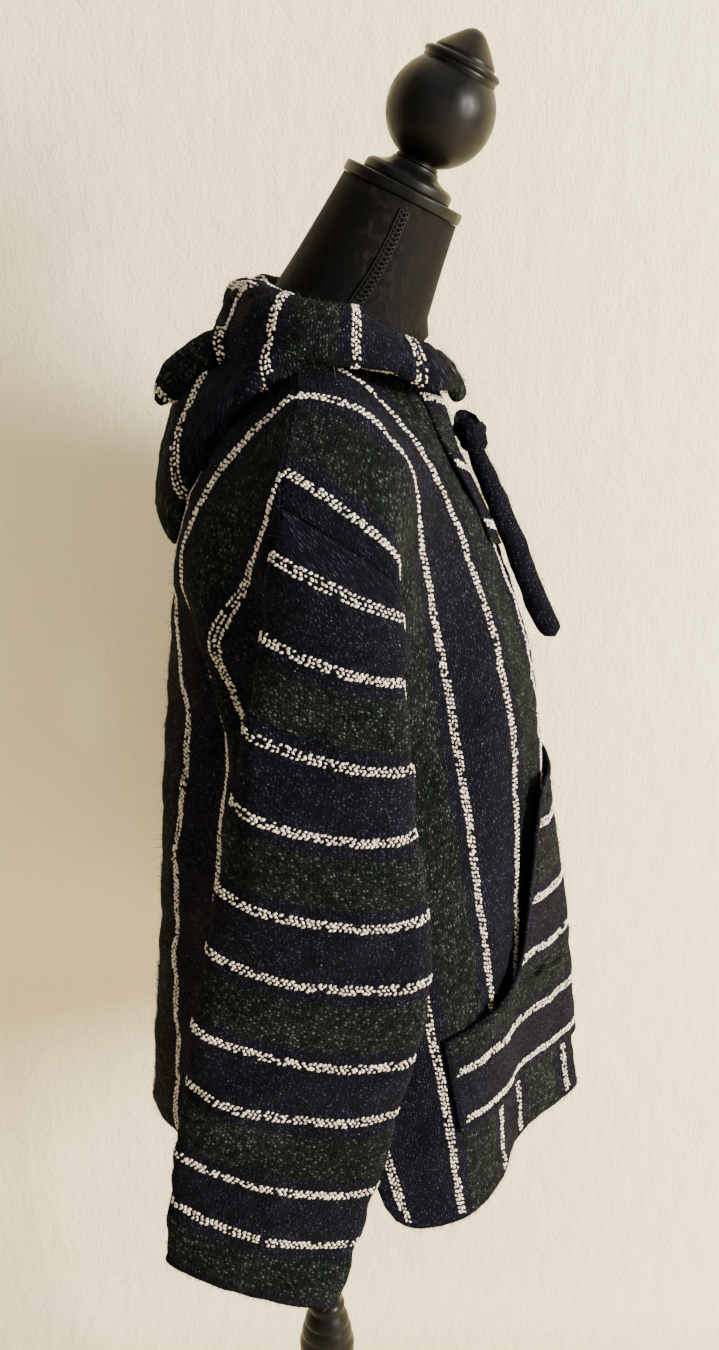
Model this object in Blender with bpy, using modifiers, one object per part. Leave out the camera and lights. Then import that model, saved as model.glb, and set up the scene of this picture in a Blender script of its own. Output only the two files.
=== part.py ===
"""A hooded, striped poncho pullover on a limbless dress form with a turned stand.

Metres, +Z up. The garment faces -Y and the wearer's right is -X. The origin is the middle of
the underside of the round base. Cloth is described by where its own lines run: "across" is the
distance in the cloth from a panel's centre line, "down" the distance in it from the shoulder seam.
"""

import math

import bmesh
import bpy
import numpy as np
from mathutils import Matrix, Vector

# Cloth
CLOTH_WALL = 0.0026
SEAM_GAP = 0.0006
SHARPEST_MITRE = 1.3
SEAM_SMOOTHING = 8
LAY_GAP = 0.0009
NECK_HALF_WIDTH = 0.105
NECK_CURVE_POWER = 2.2
FRONT_NECK_DROP = 0.050
BACK_NECK_DROP = 0.012
SLIT_END = 0.168
SLIT_HALF_WIDTH = 0.004
VENT_CORNER_RADIUS = 0.026
FRONT_LENGTH = 0.745
BACK_LENGTH = 0.715
FRONT_ARMHOLE = 0.270
BACK_ARMHOLE = 0.265

# Rows of points down a panel: the row at the underarm, the row where the side vent begins, and
# how the rows above the underarm crowd towards the shoulder.
ROW_COUNT = 26
UNDERARM_ROW = 12
VENT_ROW = 22
ARMHOLE_CROWDING = 1.45
# Columns from the centre to the side, as shares of the half width; one starts the neckline.
COLUMN_SHARES = (0.0, 0.105, 0.21, 0.32, 0.4435, 0.54, 0.63, 0.72, 0.80, 0.88, 0.945, 1.0)
NECK_COLUMN = 4

# A panel's own lines, as distances across from the centre line; the last line is its edge.
PANEL_LINES = (0.0, 0.045, 0.093, 0.145, 0.212)

# down, half width to the edge, then out, y and z of the five lines and of the edge.
FRONT_ROWS = (
    (0.000, 0.237, (0.000, -0.052, 1.280), (0.045, -0.030, 1.282), (0.088, 0.010, 1.279),
     (0.138, 0.013, 1.260), (0.190, 0.020, 1.215), (0.203, 0.022, 1.193)),
    (0.050, 0.237, (0.000, -0.094, 1.243), (0.045, -0.078, 1.251), (0.090, -0.028, 1.266),
     (0.140, -0.032, 1.249), (0.203, -0.018, 1.193), (0.215, -0.025, 1.166)),
    (0.100, 0.237, (0.000, -0.112, 1.196), (0.044, -0.100, 1.207), (0.088, -0.068, 1.228),
     (0.138, -0.067, 1.212), (0.206, -0.052, 1.160), (0.211, -0.060, 1.136)),
    (0.160, 0.238, (0.000, -0.138, 1.142), (0.044, -0.128, 1.154), (0.086, -0.100, 1.174),
     (0.130, -0.079, 1.156), (0.186, -0.064, 1.110), (0.184, -0.054, 1.086)),
    (0.230, 0.255, (0.000, -0.165, 1.077), (0.044, -0.153, 1.087), (0.086, -0.126, 1.105),
     (0.120, -0.091, 1.090), (0.156, -0.055, 1.053), (0.166, -0.026, 1.034)),
    (0.310, 0.272, (0.000, -0.186, 1.000), (0.045, -0.176, 1.006), (0.086, -0.151, 1.022),
     (0.113, -0.107, 1.006), (0.142, -0.050, 0.984), (0.154, 0.000, 0.972)),
    (0.420, 0.279, (0.000, -0.197, 0.893), (0.045, -0.188, 0.896), (0.086, -0.165, 0.906),
     (0.120, -0.125, 0.894), (0.155, -0.070, 0.878), (0.171, -0.006, 0.868)),
    (0.530, 0.279, (0.000, -0.214, 0.783), (0.044, -0.197, 0.785), (0.087, -0.168, 0.791),
     (0.130, -0.140, 0.786), (0.175, -0.088, 0.772), (0.187, -0.020, 0.764)),
    (0.640, 0.279, (0.000, -0.230, 0.683), (0.043, -0.206, 0.684), (0.089, -0.173, 0.687),
     (0.138, -0.152, 0.685), (0.190, -0.106, 0.678), (0.201, -0.032, 0.676)),
    (0.745, 0.279, (0.000, -0.243, 0.583), (0.042, -0.217, 0.585), (0.090, -0.178, 0.587),
     (0.143, -0.160, 0.587), (0.200, -0.120, 0.586), (0.214, -0.062, 0.585)),
)
BACK_ROWS = (
    (0.000, 0.237, (0.000, 0.058, 1.284), (0.045, 0.048, 1.285), (0.088, 0.014, 1.279),
     (0.138, 0.013, 1.260), (0.190, 0.020, 1.215), (0.203, 0.022, 1.193)),
    (0.050, 0.237, (0.000, 0.078, 1.241), (0.045, 0.075, 1.242), (0.090, 0.064, 1.240),
     (0.138, 0.050, 1.226), (0.198, 0.034, 1.172), (0.209, 0.031, 1.148)),
    (0.100, 0.237, (0.000, 0.096, 1.196), (0.045, 0.094, 1.196), (0.090, 0.088, 1.194),
     (0.136, 0.081, 1.186), (0.188, 0.048, 1.130), (0.200, 0.034, 1.104)),
    (0.160, 0.237, (0.000, 0.110, 1.138), (0.045, 0.109, 1.138), (0.090, 0.107, 1.137),
     (0.132, 0.099, 1.132), (0.172, 0.070, 1.090), (0.183, 0.034, 1.058)),
    (0.230, 0.254, (0.000, 0.121, 1.069), (0.046, 0.119, 1.069), (0.090, 0.111, 1.068),
     (0.127, 0.089, 1.064), (0.158, 0.062, 1.044), (0.167, 0.022, 1.016)),
    (0.310, 0.272, (0.000, 0.131, 0.990), (0.046, 0.126, 0.990), (0.086, 0.106, 0.988),
     (0.124, 0.072, 0.984), (0.148, 0.044, 0.976), (0.154, 0.000, 0.972)),
    (0.415, 0.279, (0.000, 0.140, 0.885), (0.045, 0.135, 0.885), (0.085, 0.119, 0.885),
     (0.125, 0.080, 0.884), (0.157, 0.042, 0.876), (0.171, -0.006, 0.868)),
    (0.520, 0.279, (0.000, 0.147, 0.781), (0.046, 0.141, 0.781), (0.086, 0.125, 0.780),
     (0.128, 0.087, 0.779), (0.168, 0.037, 0.772), (0.187, -0.020, 0.764)),
    (0.615, 0.279, (0.000, 0.155, 0.686), (0.047, 0.149, 0.686), (0.089, 0.127, 0.685),
     (0.133, 0.095, 0.684), (0.176, 0.042, 0.679), (0.201, -0.032, 0.676)),
    (0.715, 0.279, (0.000, 0.163, 0.587), (0.048, 0.156, 0.587), (0.090, 0.131, 0.587),
     (0.137, 0.103, 0.587), (0.180, 0.054, 0.588), (0.207, -0.014, 0.590)),
)

# Sleeve rings: distance from the armhole seam, middle's out, back fold's y and z, front fold's
# y and z, how far the outer face and the inner face stand off the middle, sag of the inner face.
SLEEVE_RINGS = (
    (0.030, 0.210, 0.029, 1.156, -0.065, 1.110, 0.022, 0.030, 0.165),
    (0.077, 0.216, 0.035, 1.104, -0.066, 1.069, 0.020, 0.030, 0.147),
    (0.144, 0.222, 0.047, 1.036, -0.072, 1.005, 0.022, 0.026, 0.115),
    (0.196, 0.225, 0.060, 0.983, -0.075, 0.955, 0.025, 0.024, 0.092),
    (0.263, 0.228, 0.071, 0.914, -0.086, 0.890, 0.026, 0.022, 0.066),
    (0.315, 0.230, 0.080, 0.863, -0.087, 0.837, 0.023, 0.020, 0.050),
    (0.382, 0.233, 0.093, 0.798, -0.077, 0.767, 0.020, 0.018, 0.037),
    (0.434, 0.236, 0.100, 0.749, -0.064, 0.720, 0.019, 0.017, 0.030),
    (0.501, 0.240, 0.110, 0.688, -0.048, 0.653, 0.018, 0.016, 0.024),
    (0.553, 0.243, 0.115, 0.645, -0.033, 0.605, 0.017, 0.016, 0.018),
    (0.608, 0.246, 0.121, 0.585, -0.014, 0.540, 0.016, 0.016, 0.008),
)
# How sharply the inner face's sag grows, the last ring of the upper part with the rings to there,
# and where the lower part's rings start and how many they are.
SLEEVE_SAG_POWER = 1.2
UPPER_SLEEVE_END, UPPER_SLEEVE_RINGS = 0.144, 7
LOWER_SLEEVE_START, LOWER_SLEEVE_RINGS = 0.180, 12
# Where the armhole seam meets the sleeve's front and back folds, as distance down the panels.
SEAM_AT_FRONT_FOLD = 0.108
SEAM_AT_BACK_FOLD = 0.012

# Hood: each section runs from the neck seam over the roll to the rim. Turn is the angle round
# the neck from the front, across the place on the neckline, then radius and height of the points.
HOOD_CENTRE_Y = -0.025
HOOD_SECTIONS = (
    (5, "front", 0.010, ((0.075, 1.249), (0.073, 1.256), (0.078, 1.261), (0.087, 1.258),
                         (0.093, 1.250), (0.093, 1.242), (0.088, 1.239), (0.084, 1.243),
                         (0.083, 1.247), (0.082, 1.250), (0.080, 1.252))),
    (30, "front", 0.038, ((0.077, 1.257), (0.074, 1.268), (0.082, 1.276), (0.094, 1.272),
                          (0.101, 1.262), (0.100, 1.253), (0.094, 1.250), (0.089, 1.254),
                          (0.087, 1.259), (0.086, 1.264), (0.084, 1.266))),
    (60, "front", 0.072, ((0.079, 1.268), (0.075, 1.283), (0.084, 1.294), (0.098, 1.290),
                          (0.107, 1.278), (0.106, 1.267), (0.099, 1.263), (0.093, 1.268),
                          (0.091, 1.274), (0.090, 1.280), (0.087, 1.283))),
    (90, "front", 0.103, ((0.084, 1.292), (0.078, 1.306), (0.088, 1.318), (0.103, 1.314),
                          (0.115, 1.300), (0.118, 1.286), (0.111, 1.280), (0.105, 1.286),
                          (0.102, 1.293), (0.100, 1.300), (0.095, 1.304))),
    (115, "back", 0.085, ((0.082, 1.300), (0.080, 1.317), (0.094, 1.326), (0.110, 1.320),
                          (0.123, 1.302), (0.128, 1.284), (0.124, 1.276), (0.120, 1.284),
                          (0.119, 1.294), (0.117, 1.304), (0.113, 1.312))),
    (140, "back", 0.052, ((0.080, 1.306), (0.081, 1.325), (0.096, 1.330), (0.114, 1.304),
                          (0.133, 1.256), (0.149, 1.218), (0.157, 1.204), (0.165, 1.217),
                          (0.165, 1.242), (0.153, 1.268), (0.148, 1.294))),
    (160, "back", 0.026, ((0.079, 1.306), (0.081, 1.323), (0.096, 1.325), (0.112, 1.289),
                          (0.130, 1.228), (0.147, 1.168), (0.154, 1.143), (0.163, 1.166),
                          (0.162, 1.204), (0.152, 1.244), (0.157, 1.274))),
    (180, "back", 0.000, ((0.079, 1.304), (0.081, 1.319), (0.096, 1.319), (0.110, 1.281),
                          (0.124, 1.224), (0.141, 1.152), (0.149, 1.126), (0.157, 1.152),
                          (0.155, 1.196), (0.146, 1.236), (0.160, 1.254))),
)

# How much flatter the roll of the left half lies, halfway between the front and the side.
HOOD_LEFT_FLATTER = 0.50
# Angles round the neck at which the hood has points, in front and behind, and points along it.
HOOD_FRONT_TURNS = np.linspace(5, 115, 8)
HOOD_BACK_TURNS = np.linspace(126, 180, 6)
HOOD_POINTS_ALONG = 21

# Kangaroo pocket: distance down and half width; the hand openings are the scooped upper part.
POCKET_ROWS = ((0.392, 0.062), (0.402, 0.070), (0.412, 0.077), (0.440, 0.084), (0.475, 0.090),
               (0.510, 0.095), (0.538, 0.102), (0.556, 0.115), (0.566, 0.133), (0.572, 0.152),
               (0.577, 0.176), (0.582, 0.205), (0.612, 0.205), (0.645, 0.205), (0.682, 0.205))
POCKET_SIDE_RISE = 0.026
POCKET_GAPE = 0.009
POCKET_GAPE_REACH = 0.055
POCKET_BELLY = 0.004
POCKET_GAP = 0.0014
POCKET_SCOOP_FULL = 0.05
POCKET_COLUMNS = 15

PLACKET_WIDTH = 0.046
PLACKET_END = 0.188
PLACKET_BELOW_NECK = 0.004
PLACKET_FROM_SLIT = 0.0009
PLACKET_ROWS, PLACKET_COLUMNS = 10, 4

# Ties: across and down the front panel, distance off it and radius of the middle line, from
# inside the knot down.
TIE_LINE = ((0.0062, 0.080, 0.0187, 0.0046), (0.0062, 0.089, 0.0180, 0.0052), (0.0066, 0.100, 0.0172, 0.0056),
            (0.0088, 0.114, 0.0168, 0.0072), (0.0108, 0.130, 0.0162, 0.0084), (0.0120, 0.148, 0.0156, 0.0090),
            (0.0125, 0.170, 0.0152, 0.0092), (0.0125, 0.195, 0.0154, 0.0094), (0.0125, 0.225, 0.0156, 0.0096),
            (0.0125, 0.252, 0.0172, 0.0096), (0.0125, 0.277, 0.0205, 0.0096))
TIE_LEFT_SHORTER = 0.18
TIE_POINTS, TIE_BEVEL_RESOLUTION = 11, 2
# The knot is one flat turn of cloth round both ties: its place down the panel and off it, its
# opening's half width and half depth, the wall's thickness and height, and its lean in degrees.
KNOT_DOWN, KNOT_OFF = 0.0895, 0.0180
KNOT_OPENING = (0.0138, 0.0074)
KNOT_WALL, KNOT_HEIGHT, KNOT_LEAN = 0.0058, 0.0260, 13.3
KNOT_STEPS, KNOT_SIDES = 18, 8

# Dress form: height, middle's y, half width, half depth, lean in degrees and squareness, which
# is 2 for an ellipse and less for a section with thin ends, as the shoulders have.
FORM_SECTIONS = (
    (0.690, -0.012, 0.118, 0.088, 0.0, 2.25),
    (0.698, -0.012, 0.130, 0.098, 0.0, 2.25),
    (0.730, -0.013, 0.138, 0.105, 0.0, 2.25),
    (0.780, -0.016, 0.143, 0.109, 0.0, 2.25),
    (0.850, -0.020, 0.134, 0.102, 0.0, 2.25),
    (0.920, -0.023, 0.122, 0.095, 0.0, 2.25),
    (1.000, -0.024, 0.124, 0.100, 0.0, 2.25),
    (1.060, -0.024, 0.130, 0.104, 0.0, 2.25),
    (1.120, -0.018, 0.142, 0.102, 0.0, 2.25),
    (1.170, -0.009, 0.156, 0.091, 0.0, 2.2),
    (1.205, -0.001, 0.163, 0.077, 0.0, 2.1),
    (1.230, 0.005, 0.161, 0.066, 0.0, 2.0),
    (1.248, 0.0060, 0.1505, 0.052, 0.0, 1.70),
    (1.262, 0.000, 0.1240, 0.055, 0.0, 1.25),
    (1.272, -0.001, 0.0890, 0.0565, 0.0, 1.20),
    (1.286, -0.0172, 0.0690, 0.067, 3.0, 1.8),
    (1.3128, -0.0262, 0.0600, 0.0635, 9.2, 2.1),
    (1.3400, -0.0400, 0.0570, 0.0572, 16.8, 2.2),
    (1.3680, -0.0539, 0.0530, 0.0523, 23.5, 2.1),
    (1.3939, -0.06607, 0.0488, 0.0488, 25.6, 2.0),
)
FORM_SIDES = 28
BRAID_WIDTH = 0.010
BRAID_WALL = 0.0014
BRAID_GAP = 0.0004
BRAID_COLUMNS = 4
NECK_RADIUS_AT_BRAID = 0.060
# Height on the form and how far in front of the section's widest place, from the bottom up.
BRAID_LINE = ((1.312, 0.0010), (1.326, 0.0030), (1.340, 0.0045), (1.354, 0.0055), (1.368, 0.0062), (1.388, 0.0066))

# Neck plate and finial, turned about an axis that leans forward.
NECK_LEAN = math.radians(25.6)
PLATE_FOOT = (0.0, -0.0662, 1.3942)
PLATE_RADIUS, PLATE_THICKNESS, PLATE_EDGE = 0.0500, 0.0092, 0.0012
# radius and height above the plate's foot
COLLAR_PROFILE = ((0.0, 0.0276), (0.0195, 0.0276), (0.0195, 0.0262), (0.0215, 0.0232), (0.0270, 0.0205),
                  (0.0335, 0.0190), (0.0365, 0.0165), (0.0370, 0.0120), (0.0370, 0.0095), (0.0, 0.0095))
BALL_RADIUS, BALL_HEIGHT = 0.0427, 0.0702
FINIAL_FOOT, FINIAL_NECK_RADIUS, FINIAL_FOOT_THICKNESS = 0.0279, 0.0180, 0.0016
# Steps down the ball, and how much of the way to the foot's own radius its curve goes.
BALL_STEPS, BALL_FOOT_SHARE = 10, 0.92
PLATE_SEGMENTS, FINIAL_SEGMENTS, COLUMN_SEGMENTS, BASE_SEGMENTS = 28, 24, 18, 28
WELD_DISTANCE = 0.00005
FINIAL_CAP = ((0.0, 0.1335), (0.0045, 0.1330), (0.0090, 0.1300), (0.0165, 0.1225), (0.0232, 0.1150),
              (0.0250, 0.1128), (0.0250, 0.1108), (0.0262, 0.1098), (0.0300, 0.1094), (0.0318, 0.1070),
              (0.0312, 0.1048), (0.0300, 0.1040), (0.0306, 0.1022), (0.0300, 0.0998))

# Stand: radius and height, top to bottom
COLUMN_PROFILE = ((0.0, 0.6896), (0.0300, 0.6896), (0.0300, 0.6800), (0.0180, 0.6740), (0.0150, 0.6600),
                  (0.0150, 0.3200), (0.0156, 0.3150), (0.0185, 0.3110), (0.0185, 0.3060), (0.0170, 0.3030),
                  (0.0205, 0.2965), (0.0228, 0.2900), (0.0222, 0.2870), (0.0245, 0.2820), (0.0262, 0.2750),
                  (0.0258, 0.2720), (0.0285, 0.2620), (0.0280, 0.2480), (0.0245, 0.2330), (0.0190, 0.2180),
                  (0.0165, 0.2080), (0.0190, 0.2020), (0.0190, 0.1960), (0.0165, 0.1900), (0.0155, 0.1500),
                  (0.0175, 0.1000), (0.0215, 0.0620), (0.0270, 0.0500), (0.0270, 0.0430), (0.0320, 0.0400),
                  (0.0320, 0.0330), (0.0, 0.0330))
BASE_PROFILE = ((0.0, 0.0327), (0.0480, 0.0327), (0.0560, 0.0290), (0.0900, 0.0240), (0.1200, 0.0205),
                (0.1340, 0.0165), (0.1400, 0.0100), (0.1400, 0.0000), (0.0, 0.0000))

# Finish: base colour, roughness and metallic value
FINISHES = {
    "jerga_cloth": ((0.030, 0.042, 0.038), 0.95, 0.0),
    "tie_cloth": ((0.012, 0.014, 0.030), 0.95, 0.0),
    "form_satin": ((0.012, 0.011, 0.012), 0.55, 0.0),
    "form_lace": ((0.006, 0.006, 0.007), 0.70, 0.0),
    "black_lacquer": ((0.010, 0.009, 0.009), 0.32, 0.0),
}

SIDES = {"right": -1.0, "left": 1.0}


def through(knots, values, at):
    """Value at one place of the smooth curve that passes through the values, one at each knot."""
    knots = np.asarray(knots, dtype=float)
    values = np.asarray(values, dtype=float)
    slopes = np.gradient(values, knots, axis=0)
    i = int(np.clip(np.searchsorted(knots, at) - 1, 0, len(knots) - 2))
    span = knots[i + 1] - knots[i]
    t = (at - knots[i]) / span
    return ((2 * t**3 - 3 * t**2 + 1) * values[i] + (t**3 - 2 * t**2 + t) * span * slopes[i]
            + (3 * t**2 - 2 * t**3) * values[i + 1] + (t**3 - t**2) * span * slopes[i + 1])


class Panel:
    """A body panel: its surface passes through the lines of its table, mirrored about the centre."""

    def __init__(self, rows, length, neck_drop):
        self.downs = [row[0] for row in rows]
        self.edges = [row[1] for row in rows]
        self.lines = np.array([row[2:] for row in rows], dtype=float)
        self.length = length
        self.neck_drop = neck_drop

    def edge(self, down):
        """Half width of the cloth at a distance down."""
        return float(through(self.downs, self.edges, down))

    def point(self, across, down):
        """The point of the cloth at a distance across, left being positive, and down."""
        half = through(self.downs, self.lines, down)
        knots = list(PANEL_LINES) + [self.edge(down)]
        mirrored = half[:0:-1] * np.array((-1.0, 1.0, 1.0))
        knots_all = [-k for k in knots[:0:-1]] + knots
        return through(knots_all, np.vstack((mirrored, half)), across)

    def normal(self, across, down, step=0.004):
        """The unit normal that points away from the wearer."""
        sideways = self.point(across + step, down) - self.point(across - step, down)
        lower = min(down + step, self.length)
        downwards = self.point(across, lower) - self.point(across, max(lower - 2 * step, 0.0))
        normal = np.cross(sideways, downwards)
        normal /= np.linalg.norm(normal)
        outward = normal[1] if abs(normal[1]) > 0.2 else -normal[2]
        front = self.lines[-1][0][1] < 0
        return -normal if (outward > 0) == front else normal

    def off(self, across, down, distance):
        """A point at a distance off the cloth's middle surface."""
        return self.point(across, down) + self.normal(across, down) * distance

    def top(self, across):
        """Where the cloth begins, along the shoulder seam and the neckline."""
        inside = max(0.0, 1.0 - (abs(across) / NECK_HALF_WIDTH) ** NECK_CURVE_POWER)
        return self.neck_drop * inside

    def bottom(self, across):
        """Where the cloth ends, with the vent's rounded corner."""
        into_corner = abs(across) - (self.edge(self.length) - VENT_CORNER_RADIUS)
        if into_corner <= 0.0:
            return self.length
        into_corner = min(into_corner, VENT_CORNER_RADIUS)
        return self.length - VENT_CORNER_RADIUS + math.sqrt(VENT_CORNER_RADIUS**2 - into_corner**2)


FRONT = Panel(FRONT_ROWS, FRONT_LENGTH, FRONT_NECK_DROP)
BACK = Panel(BACK_ROWS, BACK_LENGTH, BACK_NECK_DROP)


def make_material(name):
    """A Principled material of one of the finishes."""
    colour, roughness, metallic = FINISHES[name]
    material = bpy.data.materials.new(name)
    material.use_nodes = True
    shader = material.node_tree.nodes["Principled BSDF"]
    shader.inputs["Base Color"].default_value = (*colour, 1.0)
    shader.inputs["Roughness"].default_value = roughness
    shader.inputs["Metallic"].default_value = metallic
    return material


def link(name, mesh, finish):
    """Makes the named object of a mesh, with its own material, in the model's collection."""
    item = bpy.data.objects.new(name, mesh)
    material = make_material(finish)
    material.name = name + "_" + finish
    mesh.materials.append(material)
    bpy.data.collections["poncho_on_dress_form"].objects.link(item)
    return item


def normals_of(points, outward, round_across=False):
    """Unit normals of a grid of points; outward is 1 or -1 and picks the side they point to."""
    down = np.gradient(points, axis=0)
    if round_across:
        across = np.roll(points, -1, axis=1) - np.roll(points, 1, axis=1)
    else:
        across = np.gradient(points, axis=1)
    normals = np.cross(across, down) * outward
    return normals / np.linalg.norm(normals, axis=2, keepdims=True)


class Cloth:
    """A piece of cloth before sewing: a grid of points on its middle surface, with its half wall."""

    def __init__(self, name, points, outward, wall=CLOTH_WALL, round_across=False, open_column=None):
        self.name = name
        self.points = np.array(points, dtype=float)
        self.round_across = round_across
        self.open_column = open_column
        self.normals = normals_of(self.points, outward, round_across)
        self.half_walls = self.normals * wall / 2
        self.retreats = np.zeros_like(self.points)

    def build(self, finish="jerga_cloth"):
        """Makes the object: the surface, a copy of it half a wall to each side, and the edges."""
        bm = bmesh.new()
        stand_off = bm.verts.layers.float_vector.new("stand_off")
        rows, columns = self.points.shape[:2]
        placed = self.points + self.retreats
        vertices = []
        for i in range(rows):
            vertices.append([bm.verts.new(placed[i, j]) for j in range(columns)])
            for vertex, half_wall in zip(vertices[i], self.half_walls[i]):
                vertex[stand_off] = half_wall
        last = columns if self.round_across else columns - 1
        for i in range(rows - 1):
            for j in range(last):
                if j == self.open_column:
                    continue
                k = (j + 1) % columns
                bm.faces.new((vertices[i][j], vertices[i + 1][j], vertices[i + 1][k], vertices[i][k]))
        bmesh.ops.remove_doubles(bm, verts=bm.verts, dist=1e-5)
        outer = bmesh.ops.extrude_face_region(bm, geom=bm.faces[:], use_keep_orig=True)
        outer_vertices = {part for part in outer["geom"] if isinstance(part, bmesh.types.BMVert)}
        for vertex in bm.verts:
            vertex.co += vertex[stand_off] * (1.0 if vertex in outer_vertices else -1.0)
        bm.verts.layers.float_vector.remove(stand_off)
        bmesh.ops.recalc_face_normals(bm, faces=bm.faces)
        mesh = bpy.data.meshes.new(self.name)
        bm.to_mesh(mesh)
        bm.free()
        mesh.shade_smooth()
        return link(self.name, mesh, finish)


def mean_direction(pieces_places):
    """The unit mean of the normals at one place of each piece."""
    total = sum(piece.normals[place] for piece, place in pieces_places)
    return total / np.linalg.norm(total)


def mitre(pieces_places, direction):
    """Turns the half walls at one place of each piece into the direction the pieces share."""
    for piece, place in pieces_places:
        lean = max(float(direction @ piece.normals[place]), 1.0 / SHARPEST_MITRE)
        piece.half_walls[place] = direction * CLOTH_WALL / 2 / lean


def sew(near, far):
    """Brings two edges together: each is a piece, its places along the seam and those one step inside."""
    piece, places, inner_places = near
    other, other_places, other_inner_places = far
    line = np.array([piece.points[place] for place in places])
    tangents = np.gradient(line, axis=0)
    directions = np.array([mean_direction(((piece, place), (other, other_place)))
                           for place, other_place in zip(places, other_places)])
    for _ in range(SEAM_SMOOTHING):
        directions[1:-1] = (directions[:-2] + 2 * directions[1:-1] + directions[2:]) / 4
    directions /= np.linalg.norm(directions, axis=1, keepdims=True)
    for k, point in enumerate(line):
        mitre(((piece, places[k]), (other, other_places[k])), directions[k])
        aside = np.cross(tangents[k], directions[k])
        aside /= np.linalg.norm(aside)
        between = piece.points[inner_places[k]] - other.points[other_inner_places[k]]
        retreat = aside * math.copysign(SEAM_GAP / 2, aside @ between)
        other.points[other_places[k]] = point
        piece.retreats[places[k]] += retreat
        other.retreats[other_places[k]] -= retreat


def turned(name, profile, finish, segments, place=None):
    """A turned solid: the profile, top to bottom at +X, swept round the Z axis, then placed."""
    mesh = bpy.data.meshes.new(name)
    vertices = [(radius, 0.0, height) for radius, height in profile]
    mesh.from_pydata(vertices, [(i, i + 1) for i in range(len(vertices) - 1)], [])
    item = link(name, mesh, finish)
    sweep = item.modifiers.new("sweep", "SCREW")
    sweep.steps = segments
    sweep.render_steps = segments
    sweep.use_merge_vertices = True
    sweep.merge_threshold = WELD_DISTANCE
    if place is not None:
        item.matrix_world = place
    return item


def rows_down(panel, armhole):
    """Shares of the way down the panel's side edge at which its rows of points lie."""
    side_length = panel.bottom(panel.edge(panel.length))
    above = [armhole / side_length * (i / UNDERARM_ROW) ** ARMHOLE_CROWDING for i in range(UNDERARM_ROW)]
    below = np.linspace(armhole / side_length, 1.0, ROW_COUNT - UNDERARM_ROW)
    return above + list(below)


def cut_panel(name, panel, armhole, slit, outward):
    """The front or back panel, with the neck slit where it has one."""
    halves = []
    for side in (-1.0, 1.0):
        rows = []
        for share_down in rows_down(panel, armhole):
            row = []
            for share in COLUMN_SHARES:
                guess = share * panel.edge(share_down * panel.length)
                down = panel.top(guess) + (panel.bottom(guess) - panel.top(guess)) * share_down
                half_slit = 0.0
                if slit and down < SLIT_END:
                    half_slit = SLIT_HALF_WIDTH * math.sqrt(1.0 - down / SLIT_END)
                across = half_slit + share * (panel.edge(down) - half_slit)
                row.append(panel.point(side * across, down))
            rows.append(row)
        halves.append(np.array(rows))
    points = np.concatenate((halves[0][:, ::-1], halves[1]), axis=1)
    return Cloth(name, points, outward, open_column=len(COLUMN_SHARES) - 1)


def armhole_turns(armhole, down_at_fold, panel):
    """Where on the sleeve's sections, in degrees from the shoulder, the panel's armhole rows meet it."""
    side_length = panel.bottom(panel.edge(panel.length))
    downs = [share * side_length for share in rows_down(panel, armhole)[:UNDERARM_ROW + 1]]
    return np.interp(downs, (0.0, down_at_fold, armhole), (0.0, 90.0, 180.0))


def sleeve_ring(side, ring, turns):
    """One section of the sleeve: a flattened loop between its back and front folds."""
    _, out, back_y, back_z, front_y, front_z, outer, inner, sag = ring
    points = []
    for turn in turns:
        angle = math.radians(turn)
        outward, forward = math.cos(angle), math.sin(angle)
        stand = outer * outward if outward > 0 else inner * outward
        y = (back_y + front_y) / 2 + (front_y - back_y) / 2 * forward
        z = (back_z + front_z) / 2 + (front_z - back_z) / 2 * forward - sag * max(0.0, -outward) ** SLEEVE_SAG_POWER
        points.append((side * (out + stand), y, z))
    return points


def cut_sleeve(name, side, front, back):
    """A sleeve: a tube from the panels' armhole edges to the open cuff."""
    column = 0 if side < 0 else -1
    front_turns = armhole_turns(FRONT_ARMHOLE, SEAM_AT_FRONT_FOLD, FRONT)
    back_turns = 360.0 - armhole_turns(BACK_ARMHOLE, SEAM_AT_BACK_FOLD, BACK)
    turns = np.concatenate((front_turns, back_turns[UNDERARM_ROW - 1:0:-1]))
    seam = np.concatenate((front.points[:UNDERARM_ROW + 1, column], back.points[UNDERARM_ROW - 1:0:-1, column]))
    stations = [0.0] + [ring[0] for ring in SLEEVE_RINGS]
    rings = np.array([seam] + [sleeve_ring(side, ring, turns) for ring in SLEEVE_RINGS])
    lengths = np.concatenate((np.linspace(0.0, UPPER_SLEEVE_END, UPPER_SLEEVE_RINGS),
                              np.linspace(LOWER_SLEEVE_START, SLEEVE_RINGS[-1][0], LOWER_SLEEVE_RINGS)))
    points = np.array([through(stations, rings, length) for length in lengths])
    return Cloth(name, points, side, round_across=True)


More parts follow.
